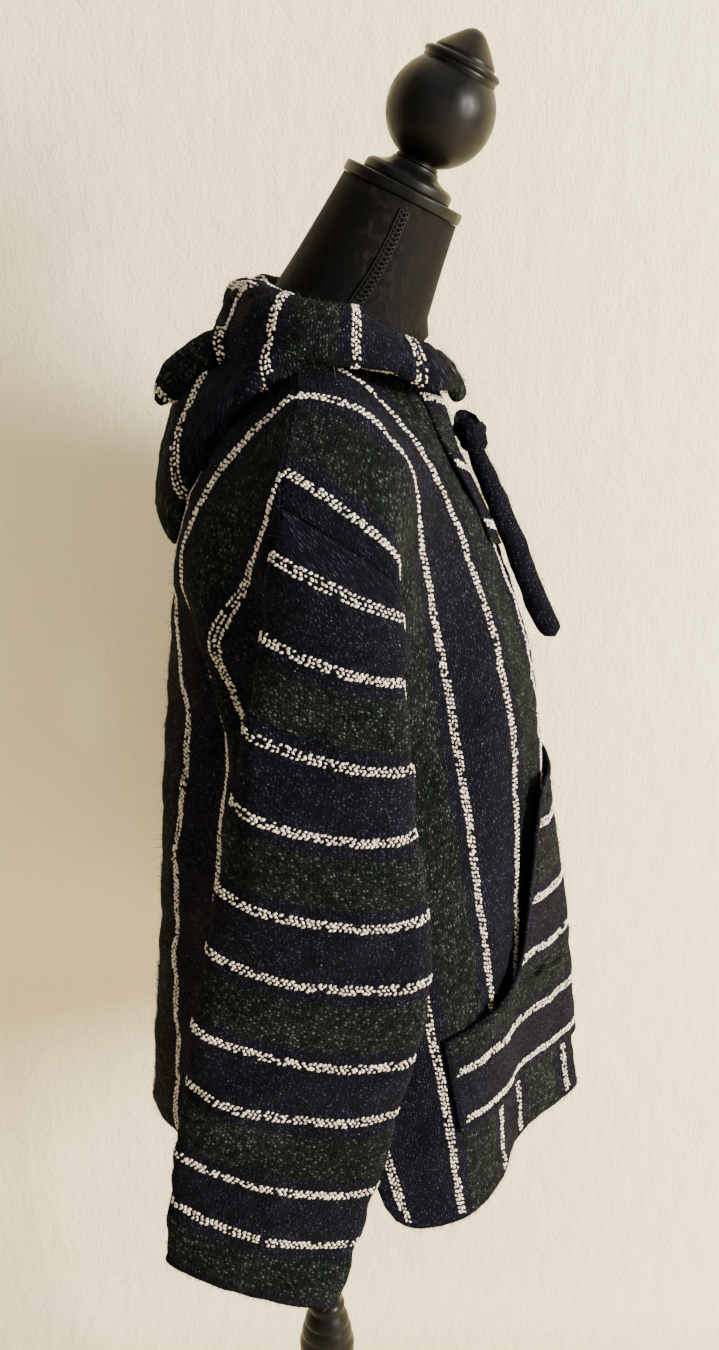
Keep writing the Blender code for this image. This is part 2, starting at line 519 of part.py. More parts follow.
def sew_body(front, back, sleeves):
    """Sews the shoulders, the armholes and the side seams down to the vents."""
    last = front.points.shape[1] - 1
    middle = len(COLUMN_SHARES)
    for side, sleeve in sleeves.items():
        edge, inner = (0, 1) if side < 0 else (last, last - 1)
        for row in (0, UNDERARM_ROW):
            corner = [(front, (row, edge)), (back, (row, edge)), (sleeve, (0, row))]
            shared = mean_direction(corner)
            for piece, place in corner:
                piece.normals[place] = shared
        neck = middle + NECK_COLUMN if side > 0 else middle - 1 - NECK_COLUMN
        columns = range(neck, edge + int(side), int(side))
        rows = range(UNDERARM_ROW, VENT_ROW + 1)
        shoulder = [(0, j) for j in columns]
        below_shoulder = [(1, j) for j in columns]
        side_edge = [(i, edge) for i in rows]
        beside_edge = [(i, inner) for i in rows]
        sew((front, shoulder, below_shoulder), (back, shoulder, below_shoulder))
        sew((front, side_edge, beside_edge), (back, side_edge, beside_edge))
        armhole = [(i, edge) for i in range(UNDERARM_ROW + 1)]
        beside_armhole = [(i, inner) for i in range(UNDERARM_ROW + 1)]
        ring = 2 * UNDERARM_ROW
        front_ring = list(range(UNDERARM_ROW + 1))
        back_ring = [-k % ring for k in front_ring]
        for piece, columns_of_ring in ((front, front_ring), (back, back_ring)):
            sleeve_edge = [(0, j) for j in columns_of_ring]
            inside_sleeve = [(1, j) for j in columns_of_ring]
            sew((piece, armhole, beside_armhole), (sleeve, sleeve_edge, inside_sleeve))


def hood_section(side, section):
    """Points of one section of the hood, from the neck seam to the rim."""
    turn, panel_name, across, profile = section
    panel = FRONT if panel_name == "front" else BACK
    seam = panel.off(across, panel.top(across), CLOTH_WALL + LAY_GAP)
    angle = math.radians(turn)
    points = [seam]
    lowest = min(height for _, height in profile)
    flatter = HOOD_LEFT_FLATTER * math.sin(2 * angle) if side > 0 and turn <= 90 else 0.0
    for radius, height in profile:
        height -= (height - lowest) * flatter
        points.append((radius * math.sin(angle), HOOD_CENTRE_Y - radius * math.cos(angle), height))
    return np.array(points) * np.array((side, 1.0, 1.0))


def make_hood_half(name, side):
    """Half a hood, lying down at the back with its front edge rolled round the neck."""
    sections = np.array([hood_section(side, section) for section in HOOD_SECTIONS])
    turns = [section[0] for section in HOOD_SECTIONS]
    round_places = np.concatenate((HOOD_FRONT_TURNS, HOOD_BACK_TURNS))
    along_knots = np.arange(sections.shape[1])
    along_places = np.linspace(0, sections.shape[1] - 1, HOOD_POINTS_ALONG)
    rows = []
    for turn in round_places:
        section = through(turns, sections, turn)
        rows.append([through(along_knots, section, along) for along in along_places])
    hood = Cloth(name, rows, side)
    hood.points[-1, :, 0] = 0.0
    hood.retreats[-1, :, 0] = side * SEAM_GAP / 2
    hood.half_walls[-1, :, 0] = 0.0
    return hood.build()


def pocket_half_width(down):
    """Half width of the pocket at a distance down the front panel."""
    return float(np.interp(down, [row[0] for row in POCKET_ROWS], [row[1] for row in POCKET_ROWS]))


def make_pocket():
    """The kangaroo pocket, on the front panel's own points moved out, gaping at the hand openings."""
    top, bottom = POCKET_ROWS[0][0], POCKET_ROWS[-1][0]
    widest = POCKET_ROWS[-1][1]
    shares = np.linspace(-1.0, 1.0, POCKET_COLUMNS)
    rows = []
    for down, half_width in POCKET_ROWS:
        row = []
        for share in shares:
            across = share * half_width
            rise = POCKET_SIDE_RISE * (across / widest) ** 2 * (down - top) / (bottom - top)
            scoop = widest - half_width
            from_opening = (1.0 - abs(share)) * half_width
            gape = POCKET_GAPE * math.exp(-from_opening / POCKET_GAPE_REACH) * min(1.0, scoop / POCKET_SCOOP_FULL)
            gape += POCKET_BELLY * math.sin(math.pi * (down - top) / (bottom - top)) * (1.0 - share**2)
            row.append(FRONT.off(across, down - rise, CLOTH_WALL + POCKET_GAP + gape))
        rows.append(row)
    return Cloth("pocket", rows, -1).build()


def make_placket(name, side):
    """A strip along one side of the neck slit, lying on the front panel."""
    shares = np.linspace(0.0, 1.0, PLACKET_COLUMNS)
    rows = []
    for share_down in np.linspace(0.0, 1.0, PLACKET_ROWS):
        row = []
        for share in shares:
            guess = share * PLACKET_WIDTH
            start = FRONT.top(guess) + PLACKET_BELOW_NECK
            down = start + (PLACKET_END - start) * share_down
            half_slit = SLIT_HALF_WIDTH * math.sqrt(max(0.0, 1.0 - down / SLIT_END)) + PLACKET_FROM_SLIT
            across = half_slit + share * PLACKET_WIDTH
            row.append(FRONT.off(side * across, down, CLOTH_WALL + LAY_GAP))
        rows.append(row)
    return Cloth(name, rows, -side).build()


def make_tie(name, side, shorter):
    """A fat tie of rolled cloth that hangs from the knot."""
    curve = bpy.data.curves.new(name, "CURVE")
    curve.dimensions = "3D"
    curve.bevel_depth = 1.0
    curve.bevel_resolution = TIE_BEVEL_RESOLUTION
    curve.use_fill_caps = True
    spline = curve.splines.new("POLY")
    knots = list(range(len(TIE_LINE)))
    places = np.linspace(0.0, (len(TIE_LINE) - 1) * (1.0 - shorter), TIE_POINTS)
    spline.points.add(len(places) - 1)
    for point, place in zip(spline.points, places):
        across, down, off, radius = through(knots, TIE_LINE, place)
        point.co = (*FRONT.off(side * across, down, off), 1.0)
        point.radius = radius
    item = bpy.data.objects.new(name, curve)
    bpy.data.collections["poncho_on_dress_form"].objects.link(item)
    material = make_material("tie_cloth")
    material.name = name + "_tie_cloth"
    curve.materials.append(material)
    return item


def make_knot():
    """The knot: a flat turn of rolled cloth round both ties."""
    bm = bmesh.new()
    rings = []
    for k in range(KNOT_STEPS):
        turn = 2 * math.pi * k / KNOT_STEPS
        ring = []
        for m in range(KNOT_SIDES):
            swell = 2 * math.pi * m / KNOT_SIDES
            past = KNOT_WALL / 2 * (1 + math.cos(swell))
            ring.append(bm.verts.new(((KNOT_OPENING[0] + past) * math.cos(turn), (KNOT_OPENING[1] + past) * math.sin(turn),
                                      KNOT_HEIGHT / 2 * math.sin(swell))))
        rings.append(ring)
    for k, ring in enumerate(rings):
        following = rings[(k + 1) % len(rings)]
        for m in range(KNOT_SIDES):
            n = (m + 1) % KNOT_SIDES
            bm.faces.new((ring[m], following[m], following[n], ring[n]))
    place = Matrix.Translation(Vector(FRONT.off(0.0, KNOT_DOWN, KNOT_OFF))) @ Matrix.Rotation(math.radians(-KNOT_LEAN), 4, "X")
    bmesh.ops.transform(bm, matrix=place, verts=bm.verts)
    bmesh.ops.recalc_face_normals(bm, faces=bm.faces)
    mesh = bpy.data.meshes.new("tie_knot")
    bm.to_mesh(mesh)
    bm.free()
    mesh.shade_smooth()
    return link("tie_knot", mesh, "tie_cloth")


def form_ring(height, turns):
    """A section of the dress form at a height in its table, leaning with the neck."""
    heights = [row[0] for row in FORM_SECTIONS]
    middle_y, half_width, half_depth, lean, squareness = through(heights, [row[1:] for row in FORM_SECTIONS], height)
    lean = math.radians(lean)
    points = []
    for turn in turns:
        c, s = math.cos(turn), math.sin(turn)
        x = half_width * math.copysign(abs(c) ** (2 / squareness), c)
        y = half_depth * math.copysign(abs(s) ** (2 / squareness), s)
        points.append((x, middle_y + y * math.cos(lean), height + y * math.sin(lean)))
    return points


def make_form():
    """The limbless torso and neck of the dress form, one smooth body."""
    turns = [2 * math.pi * k / FORM_SIDES for k in range(FORM_SIDES)]
    bm = bmesh.new()
    rings = [[bm.verts.new(point) for point in form_ring(row[0], turns)] for row in FORM_SECTIONS]
    for lower, upper in zip(rings, rings[1:]):
        for k in range(len(turns)):
            following = (k + 1) % len(turns)
            bm.faces.new((lower[k], lower[following], upper[following], upper[k]))
    bm.faces.new(rings[0])
    bm.faces.new(rings[-1])
    bmesh.ops.recalc_face_normals(bm, faces=bm.faces)
    mesh = bpy.data.meshes.new("form_torso")
    bm.to_mesh(mesh)
    bm.free()
    mesh.shade_smooth()
    return link("form_torso", mesh, "form_satin")


def make_braid(name, side):
    """Lace braid down one side of the form's neck."""
    rows = []
    for height, ahead in BRAID_LINE:
        row = []
        for across in np.linspace(-0.5, 0.5, BRAID_COLUMNS):
            turn = -math.asin((ahead + across * BRAID_WIDTH) / NECK_RADIUS_AT_BRAID)
            x, y, z = form_ring(height, [turn])[0]
            row.append((side * x, y, z))
        rows.append(row)
    braid = Cloth(name, rows, -side, BRAID_WALL)
    braid.points += braid.normals * (BRAID_WALL / 2 + BRAID_GAP)
    return braid.build("form_lace")


def make_finial():
    """Neck plate, stepped collar and ball finial, turned about the leaning axis of the neck."""
    place = Matrix.Translation(Vector(PLATE_FOOT)) @ Matrix.Rotation(NECK_LEAN, 4, "X")
    edge, radius, thick = PLATE_EDGE, PLATE_RADIUS, PLATE_THICKNESS
    plate = ((0.0, thick), (radius - edge, thick), (radius, thick - edge), (radius, edge),
             (radius - edge, 0.0), (0.0, 0.0))
    turned("neck_plate", plate, "black_lacquer", PLATE_SEGMENTS, place)
    turned("neck_collar", COLLAR_PROFILE, "black_lacquer", FINIAL_SEGMENTS, place)
    ball = []
    upper = math.acos((FINIAL_CAP[-1][1] - BALL_HEIGHT) / BALL_RADIUS)
    lower = math.pi - math.asin(FINIAL_NECK_RADIUS / BALL_RADIUS) * BALL_FOOT_SHARE
    for k in range(BALL_STEPS + 1):
        angle = upper + (lower - upper) * k / BALL_STEPS
        ball.append((BALL_RADIUS * math.sin(angle), BALL_HEIGHT + BALL_RADIUS * math.cos(angle)))
    foot = ((FINIAL_NECK_RADIUS, FINIAL_FOOT + FINIAL_FOOT_THICKNESS), (FINIAL_NECK_RADIUS, FINIAL_FOOT), (0.0, FINIAL_FOOT))
    turned("finial", FINIAL_CAP + tuple(ball) + foot, "black_lacquer", FINIAL_SEGMENTS, place)


def main():
    """Clears the scene and builds every piece."""
    for item in list(bpy.data.objects):
        bpy.data.objects.remove(item, do_unlink=True)
    model = bpy.data.collections.new("poncho_on_dress_form")
    bpy.context.scene.collection.children.link(model)

    front = cut_panel("front_panel", FRONT, FRONT_ARMHOLE, slit=True, outward=-1)
    back = cut_panel("back_panel", BACK, BACK_ARMHOLE, slit=False, outward=1)
    sleeves = {side: cut_sleeve("sleeve_" + label, side, front, back) for label, side in SIDES.items()}
    sew_body(front, back, sleeves)
    for piece in (front, back, *sleeves.values()):
        piece.build()
    for label, side in SIDES.items():
        make_hood_half("hood_" + label, side)
        make_placket("placket_" + label, side)
        make_tie("tie_" + label, side, 0.0 if side < 0 else TIE_LEFT_SHORTER)
        make_braid("form_braid_" + label, side)
    make_pocket()
    make_knot()
    make_form()
    make_finial()
    turned("column", COLUMN_PROFILE, "black_lacquer", COLUMN_SEGMENTS)
    turned("base", BASE_PROFILE, "black_lacquer", BASE_SEGMENTS)


main()
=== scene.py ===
"""The finished look of a hooded, striped poncho pullover on a limbless dress form.

Metres, +Z up, the garment faces -Y and the wearer's right is -X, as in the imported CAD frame. Cloth
is described by its own lines: "across" is the distance in the cloth from a panel's centre line and
"down" the distance in it from the shoulder seam. Every cloth piece carries a UV map in metres: the
first value runs across the stripes and the second along them, so one blanket weave fits them all.
"""

import logging
import math
from dataclasses import dataclass, field
from enum import Enum
from typing import Any, Optional, Sequence

import bmesh
import bpy
import numpy as np
from mathutils import Matrix, Vector


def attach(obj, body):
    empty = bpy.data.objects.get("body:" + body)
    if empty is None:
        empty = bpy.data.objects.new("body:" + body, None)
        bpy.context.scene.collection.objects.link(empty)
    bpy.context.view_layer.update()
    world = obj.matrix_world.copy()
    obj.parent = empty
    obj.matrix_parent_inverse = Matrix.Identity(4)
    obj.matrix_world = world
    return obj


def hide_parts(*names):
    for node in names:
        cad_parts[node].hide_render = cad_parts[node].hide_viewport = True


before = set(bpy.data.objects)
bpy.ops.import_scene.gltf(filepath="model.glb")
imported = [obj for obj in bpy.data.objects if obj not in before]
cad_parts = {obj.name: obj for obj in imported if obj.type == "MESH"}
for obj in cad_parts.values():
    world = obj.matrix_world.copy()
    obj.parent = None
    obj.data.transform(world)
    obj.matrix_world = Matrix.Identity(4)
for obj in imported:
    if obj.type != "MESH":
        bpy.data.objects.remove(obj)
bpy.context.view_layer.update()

log = logging.getLogger("poncho")

# The blanket weave: one repeat of the stripes, its white lines and its green band.
REPEAT = 0.119
WHITE_LINES = (0.0, 0.052)
GREEN_MIDDLE = 0.0855
GREEN_HALF_WIDTH = 0.0195

# The cloth's thickness, the width of the cells it is modelled in, and the gap that a piece lying
# on another keeps.
CLOTH_WALL = 0.0026
CELL = 0.0050
LYING_GAP = 0.0009

# Both panels: where the centre line lies in the stripes, the neckline, the slit and the vents.
CENTRE_IN_STRIPES = 0.026
NECK_HALF_WIDTH = 0.105
SLIT_END = 0.168
SLIT_HALF_WIDTH = 0.004
VENT_CORNER_RADIUS = 0.026

# A panel's own lines, as distances across from the centre line; the last line is its edge.
PANEL_LINES = (0.0, 0.045, 0.093, 0.145, 0.212)

# down, half width to the edge, then out, y and z of the five lines and of the edge.
FRONT_ROWS = (
    (0.000, 0.237, (0.000, -0.052, 1.280), (0.045, -0.030, 1.282), (0.088, 0.010, 1.279),
     (0.138, 0.013, 1.260), (0.190, 0.020, 1.215), (0.203, 0.022, 1.193)),
    (0.050, 0.237, (0.000, -0.094, 1.243), (0.045, -0.078, 1.251), (0.090, -0.028, 1.266),
     (0.140, -0.032, 1.249), (0.203, -0.018, 1.193), (0.215, -0.025, 1.166)),
    (0.100, 0.237, (0.000, -0.112, 1.196), (0.044, -0.100, 1.207), (0.088, -0.068, 1.228),
     (0.138, -0.067, 1.212), (0.206, -0.057, 1.159), (0.211, -0.060, 1.136)),
    (0.160, 0.238, (0.000, -0.138, 1.142), (0.044, -0.128, 1.154), (0.086, -0.100, 1.174),
     (0.130, -0.079, 1.156), (0.183, -0.056, 1.107), (0.184, -0.054, 1.086)),
    (0.230, 0.255, (0.000, -0.165, 1.077), (0.044, -0.153, 1.087), (0.086, -0.126, 1.105),
     (0.120, -0.091, 1.090), (0.156, -0.055, 1.053), (0.166, -0.026, 1.034)),
    (0.310, 0.272, (0.000, -0.186, 1.000), (0.045, -0.176, 1.006), (0.086, -0.151, 1.022),
     (0.113, -0.107, 1.006), (0.142, -0.050, 0.984), (0.154, 0.000, 0.972)),
    (0.420, 0.279, (0.000, -0.197, 0.893), (0.045, -0.188, 0.896), (0.086, -0.165, 0.906),
     (0.120, -0.125, 0.894), (0.155, -0.070, 0.878), (0.171, -0.006, 0.868)),
    (0.530, 0.279, (0.000, -0.214, 0.783), (0.044, -0.197, 0.785), (0.087, -0.168, 0.791),
     (0.130, -0.140, 0.786), (0.175, -0.088, 0.772), (0.187, -0.020, 0.764)),
    (0.640, 0.279, (0.000, -0.230, 0.683), (0.043, -0.206, 0.684), (0.089, -0.173, 0.687),
     (0.138, -0.152, 0.685), (0.190, -0.106, 0.678), (0.201, -0.032, 0.676)),
    (0.745, 0.279, (0.000, -0.243, 0.583), (0.042, -0.217, 0.585), (0.090, -0.178, 0.587),
     (0.143, -0.160, 0.587), (0.200, -0.120, 0.586), (0.214, -0.062, 0.585)),
)
BACK_ROWS = (
    (0.000, 0.237, (0.000, 0.058, 1.284), (0.045, 0.048, 1.285), (0.088, 0.014, 1.279),
     (0.138, 0.013, 1.260), (0.190, 0.020, 1.215), (0.203, 0.022, 1.193)),
    (0.050, 0.237, (0.000, 0.078, 1.241), (0.045, 0.075, 1.242), (0.090, 0.064, 1.240),
     (0.138, 0.050, 1.226), (0.198, 0.034, 1.172), (0.209, 0.031, 1.148)),
    (0.100, 0.237, (0.000, 0.096, 1.196), (0.045, 0.094, 1.196), (0.090, 0.088, 1.194),
     (0.136, 0.081, 1.186), (0.188, 0.048, 1.130), (0.200, 0.034, 1.104)),
    (0.160, 0.237, (0.000, 0.110, 1.138), (0.045, 0.109, 1.138), (0.090, 0.107, 1.137),
     (0.132, 0.099, 1.132), (0.172, 0.070, 1.090), (0.183, 0.034, 1.058)),
    (0.230, 0.254, (0.000, 0.121, 1.069), (0.046, 0.119, 1.069), (0.090, 0.111, 1.068),
     (0.127, 0.089, 1.064), (0.158, 0.062, 1.044), (0.167, 0.022, 1.016)),
    (0.310, 0.272, (0.000, 0.131, 0.990), (0.046, 0.126, 0.990), (0.086, 0.106, 0.988),
     (0.124, 0.072, 0.984), (0.148, 0.044, 0.976), (0.154, 0.000, 0.972)),
    (0.415, 0.279, (0.000, 0.140, 0.885), (0.045, 0.135, 0.885), (0.085, 0.119, 0.885),
     (0.125, 0.080, 0.884), (0.157, 0.042, 0.876), (0.171, -0.006, 0.868)),
    (0.520, 0.279, (0.000, 0.147, 0.781), (0.046, 0.141, 0.781), (0.086, 0.125, 0.780),
     (0.128, 0.087, 0.779), (0.168, 0.037, 0.772), (0.187, -0.020, 0.764)),
    (0.615, 0.279, (0.000, 0.155, 0.686), (0.047, 0.149, 0.686), (0.089, 0.127, 0.685),
     (0.133, 0.095, 0.684), (0.176, 0.042, 0.679), (0.201, -0.032, 0.676)),
    (0.715, 0.279, (0.000, 0.163, 0.587), (0.048, 0.156, 0.587), (0.090, 0.131, 0.587),
     (0.137, 0.103, 0.587), (0.180, 0.054, 0.588), (0.207, -0.014, 0.590)),
)

# Sleeve rings: distance from the armhole seam, middle's out, back fold's y and z, front fold's
# y and z, how far the outer face and the inner face stand off the middle, sag of the inner face.
SLEEVE_RINGS = (
    (0.030, 0.210, 0.029, 1.156, -0.065, 1.110, 0.022, 0.030, 0.165),
    (0.077, 0.216, 0.035, 1.104, -0.066, 1.069, 0.020, 0.030, 0.147),
    (0.144, 0.222, 0.047, 1.036, -0.072, 1.005, 0.022, 0.026, 0.115),
    (0.196, 0.225, 0.060, 0.983, -0.075, 0.955, 0.025, 0.024, 0.092),
    (0.263, 0.228, 0.071, 0.914, -0.086, 0.890, 0.026, 0.022, 0.066),
    (0.315, 0.230, 0.080, 0.863, -0.087, 0.837, 0.023, 0.020, 0.050),
    (0.382, 0.233, 0.093, 0.798, -0.077, 0.767, 0.020, 0.018, 0.037),
    (0.434, 0.236, 0.100, 0.749, -0.064, 0.720, 0.019, 0.017, 0.030),
    (0.501, 0.240, 0.110, 0.688, -0.048, 0.653, 0.018, 0.016, 0.024),
    (0.553, 0.243, 0.115, 0.645, -0.033, 0.605, 0.017, 0.016, 0.018),
    (0.608, 0.246, 0.121, 0.585, -0.014, 0.540, 0.016, 0.016, 0.008),
)
# How far the middle of a stripe hangs below its ends on the sleeve's outer face, by distance.
SLEEVE_DIP = ((0.0, 0.000), (0.05, 0.002), (0.144, 0.004), (0.20, 0.008), (0.32, 0.010),
    (0.608, 0.007))

# Hood sections: degrees round the neck, the panel that carries the seam and how far across, then
# the profile's radii and heights.
HOOD_SECTIONS = (
    (5, "front", 0.010, ((0.075, 1.249), (0.073, 1.256), (0.078, 1.261), (0.087, 1.258),
                          (0.093, 1.250), (0.093, 1.242), (0.088, 1.239), (0.084, 1.243),
                          (0.083, 1.247), (0.082, 1.250), (0.080, 1.252))),
    (30, "front", 0.038, ((0.077, 1.257), (0.074, 1.268), (0.082, 1.276), (0.094, 1.272),
                          (0.101, 1.262), (0.100, 1.253), (0.094, 1.250), (0.089, 1.254),
                          (0.087, 1.259), (0.086, 1.264), (0.084, 1.266))),
    (60, "front", 0.072, ((0.079, 1.268), (0.075, 1.283), (0.084, 1.294), (0.098, 1.290),
                          (0.107, 1.278), (0.106, 1.267), (0.099, 1.263), (0.093, 1.268),
                          (0.091, 1.274), (0.090, 1.280), (0.087, 1.283))),
    (90, "front", 0.103, ((0.084, 1.292), (0.078, 1.306), (0.088, 1.318), (0.103, 1.314),
                          (0.115, 1.300), (0.118, 1.286), (0.111, 1.280), (0.105, 1.286),
                          (0.102, 1.293), (0.100, 1.300), (0.095, 1.304))),
    (115, "back", 0.085, ((0.082, 1.300), (0.080, 1.317), (0.094, 1.326), (0.110, 1.320),
                          (0.123, 1.302), (0.128, 1.284), (0.124, 1.276), (0.120, 1.284),
                          (0.119, 1.290), (0.114, 1.296), (0.108, 1.300))),
    (140, "back", 0.052, ((0.080, 1.306), (0.081, 1.325), (0.096, 1.330), (0.114, 1.304),
                          (0.128, 1.256), (0.141, 1.214), (0.150, 1.196), (0.157, 1.209),
                          (0.153, 1.234), (0.141, 1.258), (0.128, 1.272))),
    (160, "back", 0.026, ((0.079, 1.306), (0.081, 1.323), (0.096, 1.325), (0.112, 1.289),
                          (0.126, 1.228), (0.142, 1.164), (0.151, 1.138), (0.160, 1.158),
                          (0.157, 1.200), (0.144, 1.238), (0.130, 1.262))),
    (180, "back", 0.000, ((0.079, 1.304), (0.081, 1.319), (0.096, 1.319), (0.110, 1.281),
                          (0.124, 1.224), (0.139, 1.148), (0.148, 1.117), (0.156, 1.146),
                          (0.153, 1.194), (0.142, 1.230), (0.130, 1.255))),
)
# Turn round the neck and the place in the stripes there, so the lines cross the roll as they lie.
HOOD_STRIPES = ((0.0, 0.096), (59.5, 0.052), (87.0, 0.0), (117.5, -0.067), (146.0, -0.119),
    (153.0, -0.136), (180.0, -0.162))

# The hood's fallen folds at the back: places of the middle line, half height and half depth there.
CORNER_FLAP = (
    (-0.084, 0.0170, 1.2900, 0.0070, 0.0060), (-0.081, 0.0319, 1.2895, 0.0120, 0.0085),
    (-0.074, 0.0529, 1.2875, 0.0140, 0.0095), (-0.066, 0.0728, 1.2840, 0.0145, 0.0095),
    (-0.059, 0.0923, 1.2754, 0.0140, 0.0090), (-0.054, 0.1089, 1.2618, 0.0125, 0.0080),
    (-0.051, 0.1184, 1.2506, 0.0095, 0.0065), (-0.050, 0.1250, 1.2420, 0.0035, 0.0030))
BACK_ROLL = (
    (-0.092, -0.0060, 1.2985, 0.0040, 0.0040), (-0.086, 0.0067, 1.3030, 0.0095, 0.0090),
    (-0.074, 0.0221, 1.3105, 0.0130, 0.0125), (-0.054, 0.0390, 1.3175, 0.0150, 0.0140),
    (-0.028, 0.0528, 1.3188, 0.0155, 0.0150), (0.000, 0.0585, 1.3165, 0.0145, 0.0145),
    (0.030, 0.0535, 1.3120, 0.0130, 0.0130), (0.056, 0.0410, 1.3060, 0.0110, 0.0110),
    (0.076, 0.0240, 1.3010, 0.0070, 0.0070))
LOWER_FOLD = (
    (-0.1010, -0.0270, 1.2860, 0.0040, 0.0040), (-0.1035, -0.0085, 1.2832, 0.0090, 0.0070),
    (-0.1035, 0.0130, 1.2797, 0.0115, 0.0080), (-0.0995, 0.0356, 1.2745, 0.0125, 0.0085),
    (-0.0930, 0.0559, 1.2637, 0.0130, 0.0085), (-0.0860, 0.0722, 1.2477, 0.0120, 0.0080),
    (-0.0790, 0.0836, 1.2289, 0.0100, 0.0070), (-0.0740, 0.0901, 1.2119, 0.0040, 0.0040))

# Kangaroo pocket: distance down and half width; the hand openings are the scooped upper part.
POCKET_ROWS = ((0.392, 0.062), (0.402, 0.070), (0.412, 0.077), (0.440, 0.084), (0.475, 0.090),
               (0.510, 0.095), (0.538, 0.102), (0.556, 0.115), (0.566, 0.133), (0.572, 0.152),
               (0.577, 0.176), (0.582, 0.205), (0.612, 0.205), (0.645, 0.205), (0.682, 0.205))

# Distance down and the place in the stripes there, so the lines cross the strip where they lie.
PLACKET_STRIPES = ((0.0, -0.007), (0.059, 0.052), (0.118, 0.119), (0.172, 0.171), (0.200, 0.199))

# Ties: across and down the front panel, distance off it and radius of the middle line, from
# inside the knot down.
TIE_LINE = ((0.0062, 0.080, 0.0187, 0.0046), (0.0062, 0.089, 0.0180, 0.0052),
    (0.0066, 0.100, 0.0172, 0.0056), (0.0088, 0.114, 0.0168, 0.0072),
    (0.0108, 0.130, 0.0162, 0.0084), (0.0120, 0.148, 0.0156, 0.0090),
    (0.0125, 0.170, 0.0152, 0.0092), (0.0125, 0.195, 0.0154, 0.0094),
    (0.0125, 0.225, 0.0156, 0.0096), (0.0125, 0.252, 0.0182, 0.0097),
    (0.0125, 0.277, 0.0250, 0.0098))

# Dress form: height, middle's y, half width, half depth, lean in degrees and squareness.
FORM_SECTIONS = (
    (0.690, -0.012, 0.118, 0.088, 0.0, 2.25),
    (0.698, -0.012, 0.130, 0.098, 0.0, 2.25),
    (0.730, -0.013, 0.138, 0.105, 0.0, 2.25),
    (0.780, -0.016, 0.143, 0.109, 0.0, 2.25),
    (0.850, -0.020, 0.134, 0.102, 0.0, 2.25),
    (0.920, -0.023, 0.122, 0.095, 0.0, 2.25),
    (1.000, -0.024, 0.124, 0.100, 0.0, 2.25),
    (1.060, -0.024, 0.130, 0.104, 0.0, 2.25),
    (1.120, -0.018, 0.142, 0.102, 0.0, 2.25),
    (1.170, -0.009, 0.156, 0.091, 0.0, 2.2),
    (1.205, -0.001, 0.163, 0.077, 0.0, 2.1),
    (1.230, 0.005, 0.161, 0.066, 0.0, 2.0),
    (1.248, 0.0060, 0.1505, 0.052, 0.0, 1.70),
    (1.262, 0.000, 0.1240, 0.055, 0.0, 1.25),
    (1.272, -0.001, 0.0890, 0.0565, 0.0, 1.20),
    (1.286, -0.0172, 0.0690, 0.067, 3.0, 1.8),
    (1.3128, -0.0262, 0.0600, 0.0635, 9.2, 2.1),
    (1.3400, -0.0400, 0.0570, 0.0572, 16.8, 2.2),
    (1.3680, -0.0539, 0.0530, 0.0523, 23.5, 2.1),
    (1.3939, -0.06607, 0.0488, 0.0488, 25.6, 2.0),
)
# The braid's middle: height and how far in front of the neck's side it lies.
BRAID_LINE = ((1.312, 0.0010), (1.326, 0.0030), (1.340, 0.0045), (1.354, 0.0055), (1.368, 0.0062),
    (1.388, 0.0066))

# Turned profiles as radius and height, from the top of the axis to its foot.
PLATE_PROFILE = ((0.0, 0.0092), (0.0488, 0.0092), (0.0500, 0.0080), (0.0500, 0.0012), (0.0488, 0.0),
    (0.0, 0.0))
COLLAR_PROFILE = ((0.0, 0.0276), (0.0195, 0.0276), (0.0195, 0.0262), (0.0215, 0.0232),
    (0.0270, 0.0205), (0.0335, 0.0190), (0.0365, 0.0165), (0.0370, 0.0120), (0.0370, 0.0095),
    (0.0, 0.0095))
FINIAL_CAP = ((0.0, 0.1335), (0.0045, 0.1330), (0.0090, 0.1300), (0.0165, 0.1225), (0.0232, 0.1150),
    (0.0250, 0.1128), (0.0250, 0.1108), (0.0262, 0.1098), (0.0300, 0.1094), (0.0318, 0.1070),
    (0.0312, 0.1048), (0.0300, 0.1040), (0.0306, 0.1022), (0.0300, 0.0998))
COLUMN_PROFILE = ((0.0, 0.6896), (0.0300, 0.6896), (0.0300, 0.6800), (0.0180, 0.6740),
    (0.0150, 0.6600), (0.0150, 0.3200), (0.0156, 0.3150), (0.0185, 0.3110), (0.0185, 0.3060),
    (0.0170, 0.3030), (0.0205, 0.2965), (0.0228, 0.2900), (0.0222, 0.2870), (0.0245, 0.2820),
    (0.0262, 0.2750), (0.0258, 0.2720), (0.0285, 0.2620), (0.0280, 0.2480), (0.0245, 0.2330),
    (0.0190, 0.2180), (0.0165, 0.2080), (0.0190, 0.2020), (0.0190, 0.1960), (0.0165, 0.1900),
    (0.0155, 0.1500), (0.0175, 0.1000), (0.0215, 0.0620), (0.0270, 0.0500), (0.0270, 0.0430),
    (0.0320, 0.0400), (0.0320, 0.0330), (0.0, 0.0330))
BASE_PROFILE = ((0.0, 0.0327), (0.0480, 0.0327), (0.0560, 0.0290), (0.0900, 0.0240),
    (0.1200, 0.0205), (0.1340, 0.0165), (0.1400, 0.0100), (0.1400, 0.0000), (0.0, 0.0000))


class Side(Enum):
    """The wearer's two sides, each with the sign of its X."""

    RIGHT = -1.0
    LEFT = 1.0

    @property
    def label(self) -> str:
        """The side's name as the node names spell it."""
        return self.name.lower()


class Slot(Enum):
    """The record's material slots."""

    CLOTH = "jerga_cloth"
    TIE = "tie_cloth"
    SATIN = "form_satin"
    LACE = "form_lace"
    LACQUER = "black_lacquer"


